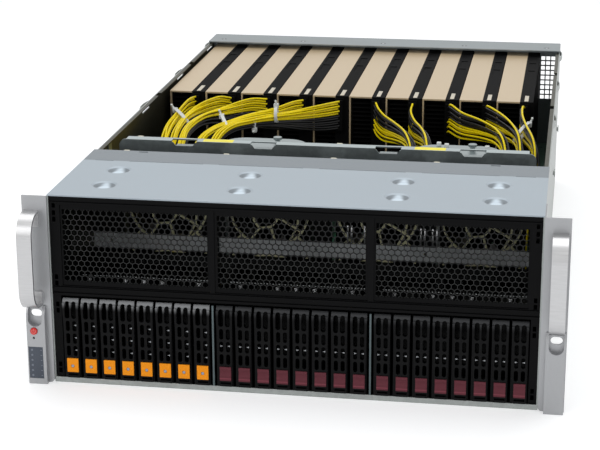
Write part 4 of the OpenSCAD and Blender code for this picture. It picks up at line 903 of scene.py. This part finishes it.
# %% Clips
COVER_CLIP_X = (-186.5, -88.5, 15.3, 113.4)
BEAM_CLIP_X = (-186.5, 13.5)
CLIP_HALF, CLIP_DEEP, CLIP_TALL = 2.8, 3, 6
BEAM_FLANGE = 12
beam_front = span("cross_beam")[0].y
cover_rear = span("front_cover")[1].y
clips = Piece("edge_clips", CREAM, "cable_yellow")
for places, y in ((COVER_CLIP_X, cover_rear), (BEAM_CLIP_X, beam_front + BEAM_FLANGE)):
    for x in places:
        clips.box(at(x - CLIP_HALF, y, TOP - CLIP_TALL),
                  at(x + CLIP_HALF, y + CLIP_DEEP, TOP), 0.5)
clips.done()

# %% Cable blocks on the tongues of the beam
TONGUE_Z = 170
BLOCK_HALF, BLOCK_TALL = 2.2, 4
BLOCKS = ((108, 248), (116, 243), (156, 240))
mounts = Piece("cable_mounts", TIE, "cable_yellow")
for x, y in BLOCKS:
    mounts.box(at(x - BLOCK_HALF, y - BLOCK_HALF, TONGUE_Z),
               at(x + BLOCK_HALF, y + BLOCK_HALF, TONGUE_Z + BLOCK_TALL), 0.6)
mounts.done()


# %% Screws of the rear flange and the ears
def rod(piece, place, axis, radius, length, sides=16):
    """A short cylinder from a point, its rim slightly rounded."""
    soft = min(0.3, length / 4, radius / 3)
    piece.lathe(place, axis, [(radius, 0), (radius, length - soft),
                              (radius - soft, length)], sides)


EAR_SCREW_Y = 30
EAR_SCREW_Z = (30, 90, 150)
EAR_SKIN = HALF + 1.6
screws = Piece("screws", SCREW, "cage_steel")
for k in range(-2, 3):
    hole = Vector((k * SCREW_GAP, rear_high.y - SCREW_ROW, (TOP - 1.2) * MM))
    rod(screws, hole, (0, 0, 1), 1.65, 1.1)
for side in (-1, 1):
    for z in EAR_SCREW_Z:
        rod(screws, at(side * EAR_SKIN, EAR_SCREW_Y, z), (side, 0, 0), 2.6, 1.3)
screws.done()

# %% [markdown]
# ## Inside the upper windows
# Behind the grilles the deck over the drives is painted near black, as shade,
# and what shows there is small and bright: a few hooks between the drives, a
# strip with a row of painted glints where the rims of its holes catch the light,
# and the pins of the fan plugs on the fan wall.

# %% Dotted strip finish
def dotted(name, dark, bright, period):
    """A dark strip with a row of bright dots along x: painted glints of lit hole rims."""
    finish = Finish(name, dark, 0.4)
    x, y, z = finish.along()
    # The bright dots are painted highlights, the glints of lit hole rims.
    spot = (x / period).fraction() > 0.55
    finish.set("Base Color", finish.mix(spot, dark, bright))
    finish.bump(finish.noise(800.0, 2.0), 0.00003, 0.3)
    return finish.material


STRIP = dotted("dotted strip", (0.008, 0.008, 0.008), (0.75, 0.78, 0.78), 2.8 * MM)

# %% Hooks and strips on the deck
DECK_Z = 82.4
HOOK_STEPS = (-3, -1, 0, 1, 3)
HOOK_SHIFT = -2.6
STRIP_HALF = 66
drive_pitch = span("drive_02")[0].x - span("drive_01")[0].x
hooks = Piece("deck_hooks", SCREW, "cage_steel")
strip = Piece("deck_strip", STRIP, "cage_steel")
for bay in (-1, 0, 1):
    middle = bay * bay_pitch
    for k in HOOK_STEPS:
        x = middle + k * drive_pitch + HOOK_SHIFT
        hooks.box(at(x - 1.9, 44.5, DECK_Z), at(x + 1.9, 45.7, DECK_Z + 3.4), 0.3)
        hooks.box(at(x - 0.8, 42.6, DECK_Z), at(x + 0.8, 47.6, DECK_Z + 1.8), 0.3)
    strip.box(at(middle - STRIP_HALF, 57, DECK_Z + 1.4),
              at(middle + STRIP_HALF, 58, DECK_Z + 2.2), 0.1)
hooks.done()
strip.done()

# %% Pins of the fan plugs
PIN_X = (31.8, 35.6, 48.0, 51.8, 101.3, 105.1, 112.6, 116.4)
PIN_Y = (137.6, 139.9)
PIN_Z = (101, 118)
pins = Piece("fan_plug_pins", SCREW, "cage_steel")
for x in PIN_X:
    pins.box(at(x - 0.7, PIN_Y[0], PIN_Z[0]), at(x + 0.7, PIN_Y[1], PIN_Z[1]), 0.2)
pins.done()

# %% [markdown]
# ## The control side of the left ear
# A dark window with six small lamps sits in the raised panel, under the power
# button. The button carries a ring and a stroke, the usual sign for power, in a
# lighter red. They ride on the button, so they travel with it.

# %% Status window
PANEL_GLASS = moulded("status window", (0.050, 0.062, 0.085), 0.25, gloss=0.5)
LAMP = moulded("lamp marks", (0.17, 0.19, 0.23), 0.4)
LAMPS = 6
LAMP_STEP = 4.9
button_low, button_high = span("power_button")
button_x = (button_low.x + button_high.x) / 2
button_z = (button_low.z + button_high.z) / 2
ear_face = span("left_ear")[0].y
window_left, window_right = button_x - 6.0, button_x + 7.4
window_foot, window_head = 5.6, 35.9
glass = Piece("status_window", PANEL_GLASS, "black_frame")
glass.box(at(window_left, ear_face + 0.15, window_foot),
          at(window_right, ear_face + 0.9, window_head), 0.2)
glass.done()
marks = Piece("status_lamps", LAMP, "black_frame")
for k in range(LAMPS):
    z = window_head - 3 - LAMP_STEP * k
    rod(marks, at(window_left + 3.2, ear_face + 0.2, z), (0, -1, 0), 1.0, 0.12)
    marks.box(at(window_right - 2.4, ear_face + 0.05, z - 0.3),
              at(window_right - 0.9, ear_face + 0.2, z + 0.3))
marks.done()

# %% Sign on the button
SIGN = moulded("sign on the button", (0.80, 0.30, 0.27), 0.4)
SIGN_R = 1.7
sign = Piece("button_sign", SIGN, "button_red", "power_button")
ring = [math.radians(90 + a) for a in range(40, 321, 20)]
sign.sweep([at(button_x + SIGN_R * math.cos(a), button_low.y, button_z + SIGN_R * math.sin(a))
            for a in ring], 0.22, 6)
sign.sweep([at(button_x, button_low.y, button_z + h) for h in (0.2, 1.3, 2.4)], 0.22, 6)
sign.done()

# %% [markdown]
# ## Trim on the drives
# Each carrier shows a glint of its latch spring in the vents, and the orange
# tabs are held by a small blue-grey screw. These pieces slide out with their
# own drive, so each one rides on that drive's body.

# %% Springs and tab screws
SPRING = brushed("latch spring", (0.26, 0.27, 0.28), (400.0, 400.0, 400.0))
TAB_SCREW = brushed("tab screw", (0.30, 0.33, 0.40), (400.0, 400.0, 400.0))
DRIVES = 24
VENT_ROWS = (25.6, 37.6, 49.6)
TIP_OUT, TIP_REACH, TIP_HALF = 3.05, 1.3, 0.8
TIP_Y, TIP_DEEP = 3.6, 2.0
TAB_SCREW_AT = (0.75, 1.2, 11.85)


def trim(i):
    """The spring tips of one carrier, and the screw of an orange tab."""
    node = "drive_%02d" % i
    low, high = span(node)
    x, y = (low.x + high.x) / 2, low.y + TIP_Y
    spring = Piece("spring_%02d" % i, SPRING, "cage_steel", node)
    rows = [high.z - row for row in VENT_ROWS]
    tips = [(1, row) for row in rows] if i <= ORANGE_DRIVES else [(-1, rows[1]), (1, rows[1])]
    for side, row in tips:
        spot, reach = x + 0.3 + side * TIP_OUT, -side * TIP_REACH
        tip = [at(spot - reach, y, row - TIP_HALF), at(spot - reach, y, row + TIP_HALF),
               at(spot + reach * 0.8, y, row)]
        spring.prism(tip, Vector((0, TIP_DEEP * MM, 0)))
    spring.done(smooth=False)
    if i <= ORANGE_DRIVES:
        across, deep, up = TAB_SCREW_AT
        screw = Piece("tab_screw_%02d" % i, TAB_SCREW, "cage_steel", node)
        rod(screw, at(x + across, low.y + deep, low.z + up), (0, -1, 0), 1.55, 1.1)
        screw.done()


for i in range(1, DRIVES + 1):
    trim(i)

# %% [markdown]
# ## Plates on the cards
# A small bare plate sits at the front end of each card's black spine.

# %% Card plates
PLATE = blasted("card plate", (0.55, 0.50, 0.40), 0.6)
PLATE_SHIFT = 2.5
PLATE_HALF = 2.2
PLATE_Y = (core_low.y + 10, core_low.y + 36)
plates = Piece("card_plates", PLATE, "card_champagne")
for i in range(CARDS):
    x = shroud_low.x + i * CARD_PITCH + PLUG_X + PLATE_SHIFT
    plates.box(at(x - PLATE_HALF, PLATE_Y[0], core_high.z - 0.3),
               at(x + PLATE_HALF, PLATE_Y[1], core_high.z + 0.3), 0.2)
plates.done()

# %% [markdown]
# ## Light, floor and backdrop
# A product is lit by large soft lamps and stands on white. One big lamp hangs
# overhead, one stands at the front left and a weaker one at the right.
# They light the metal at a plain level. The floor and the sky look white to the
# camera and in reflections, while the floor still takes a shadow.

# %% Lamps
def lamp(name, place, target, size, power):
    """A rectangle of light, its sides in metres and its power in watts."""
    data = bpy.data.lights.new(name, "AREA")
    data.shape = "RECTANGLE"
    data.size, data.size_y = size
    data.energy = power
    made = bpy.data.objects.new(name, data)
    made.location = place
    made.rotation_euler = (target - place).to_track_quat("-Z", "Y").to_euler()
    bpy.context.scene.collection.objects.link(made)


heart = at(0, 300, 90)
lamp("overhead", heart + Vector((0.1, 0.3, 1.9)), heart, size=(2.6, 2.0), power=24)
lamp("front_left", heart + Vector((-1.6, -1.9, 1.2)), heart, size=(1.8, 1.6), power=17)
lamp("front_right", heart + Vector((1.6, -1.7, 0.9)), heart, size=(1.2, 1.2), power=7)
print("lamps", len(bpy.data.lights))

# %% [markdown]
# ### White without more light
# A ray that reaches the camera, or shows in metal or glass, finds white. All
# other rays find a dimmer sky, so the white adds no light to the object. The
# floor glows a little for the same rays, and still darkens where a shadow falls.

# %% Sky
def in_view(tree):
    """One for rays that are seen: straight, mirrored or through glass."""
    straight, mirrored, through = (tree.node("LightPath", output=ray) for ray in (
        "Is Camera Ray", "Is Glossy Ray", "Is Transmission Ray"))
    return straight.larger(mirrored).larger(through)


world = bpy.data.worlds.new("sky")
bpy.context.scene.world = world
world.use_nodes = True
sky = Tree(world.node_tree)
dim = world.node_tree.nodes["Background"]
sky.feed(dim.inputs["Color"], opaque((0.95, 0.97, 1.0)))
sky.feed(dim.inputs["Strength"], 0.5)
white = sky.node("Background", sockets={"Color": opaque((1, 1, 1)), "Strength": 1.0})
chosen = sky.node("MixShader", sockets={0: in_view(sky), 1: Wire(sky, dim.outputs[0]), 2: white})
sky.feed(world.node_tree.nodes["World Output"].inputs["Surface"], chosen)

# %% Floor
FLOOR_REACH = 6.0
floor_look = Finish("pale floor", (0.86, 0.86, 0.86), 0.9, Emission_Strength=0.35)
floor_look.set("Emission Color", floor_look.mix(in_view(floor_look), (0, 0, 0), (1, 1, 1)))
floor_data = bpy.data.meshes.new("floor")
floor_data.from_pydata([(x * FLOOR_REACH, y * FLOOR_REACH, 0) for x, y in (
    (-1, -1), (1, -1), (1, 1), (-1, 1))], [], [(0, 1, 2, 3)])
floor_data.materials.append(floor_look.material)
floor = bpy.data.objects.new("floor", floor_data)
bpy.context.scene.collection.objects.link(floor)

bpy.context.scene.view_settings.view_transform = "Standard"
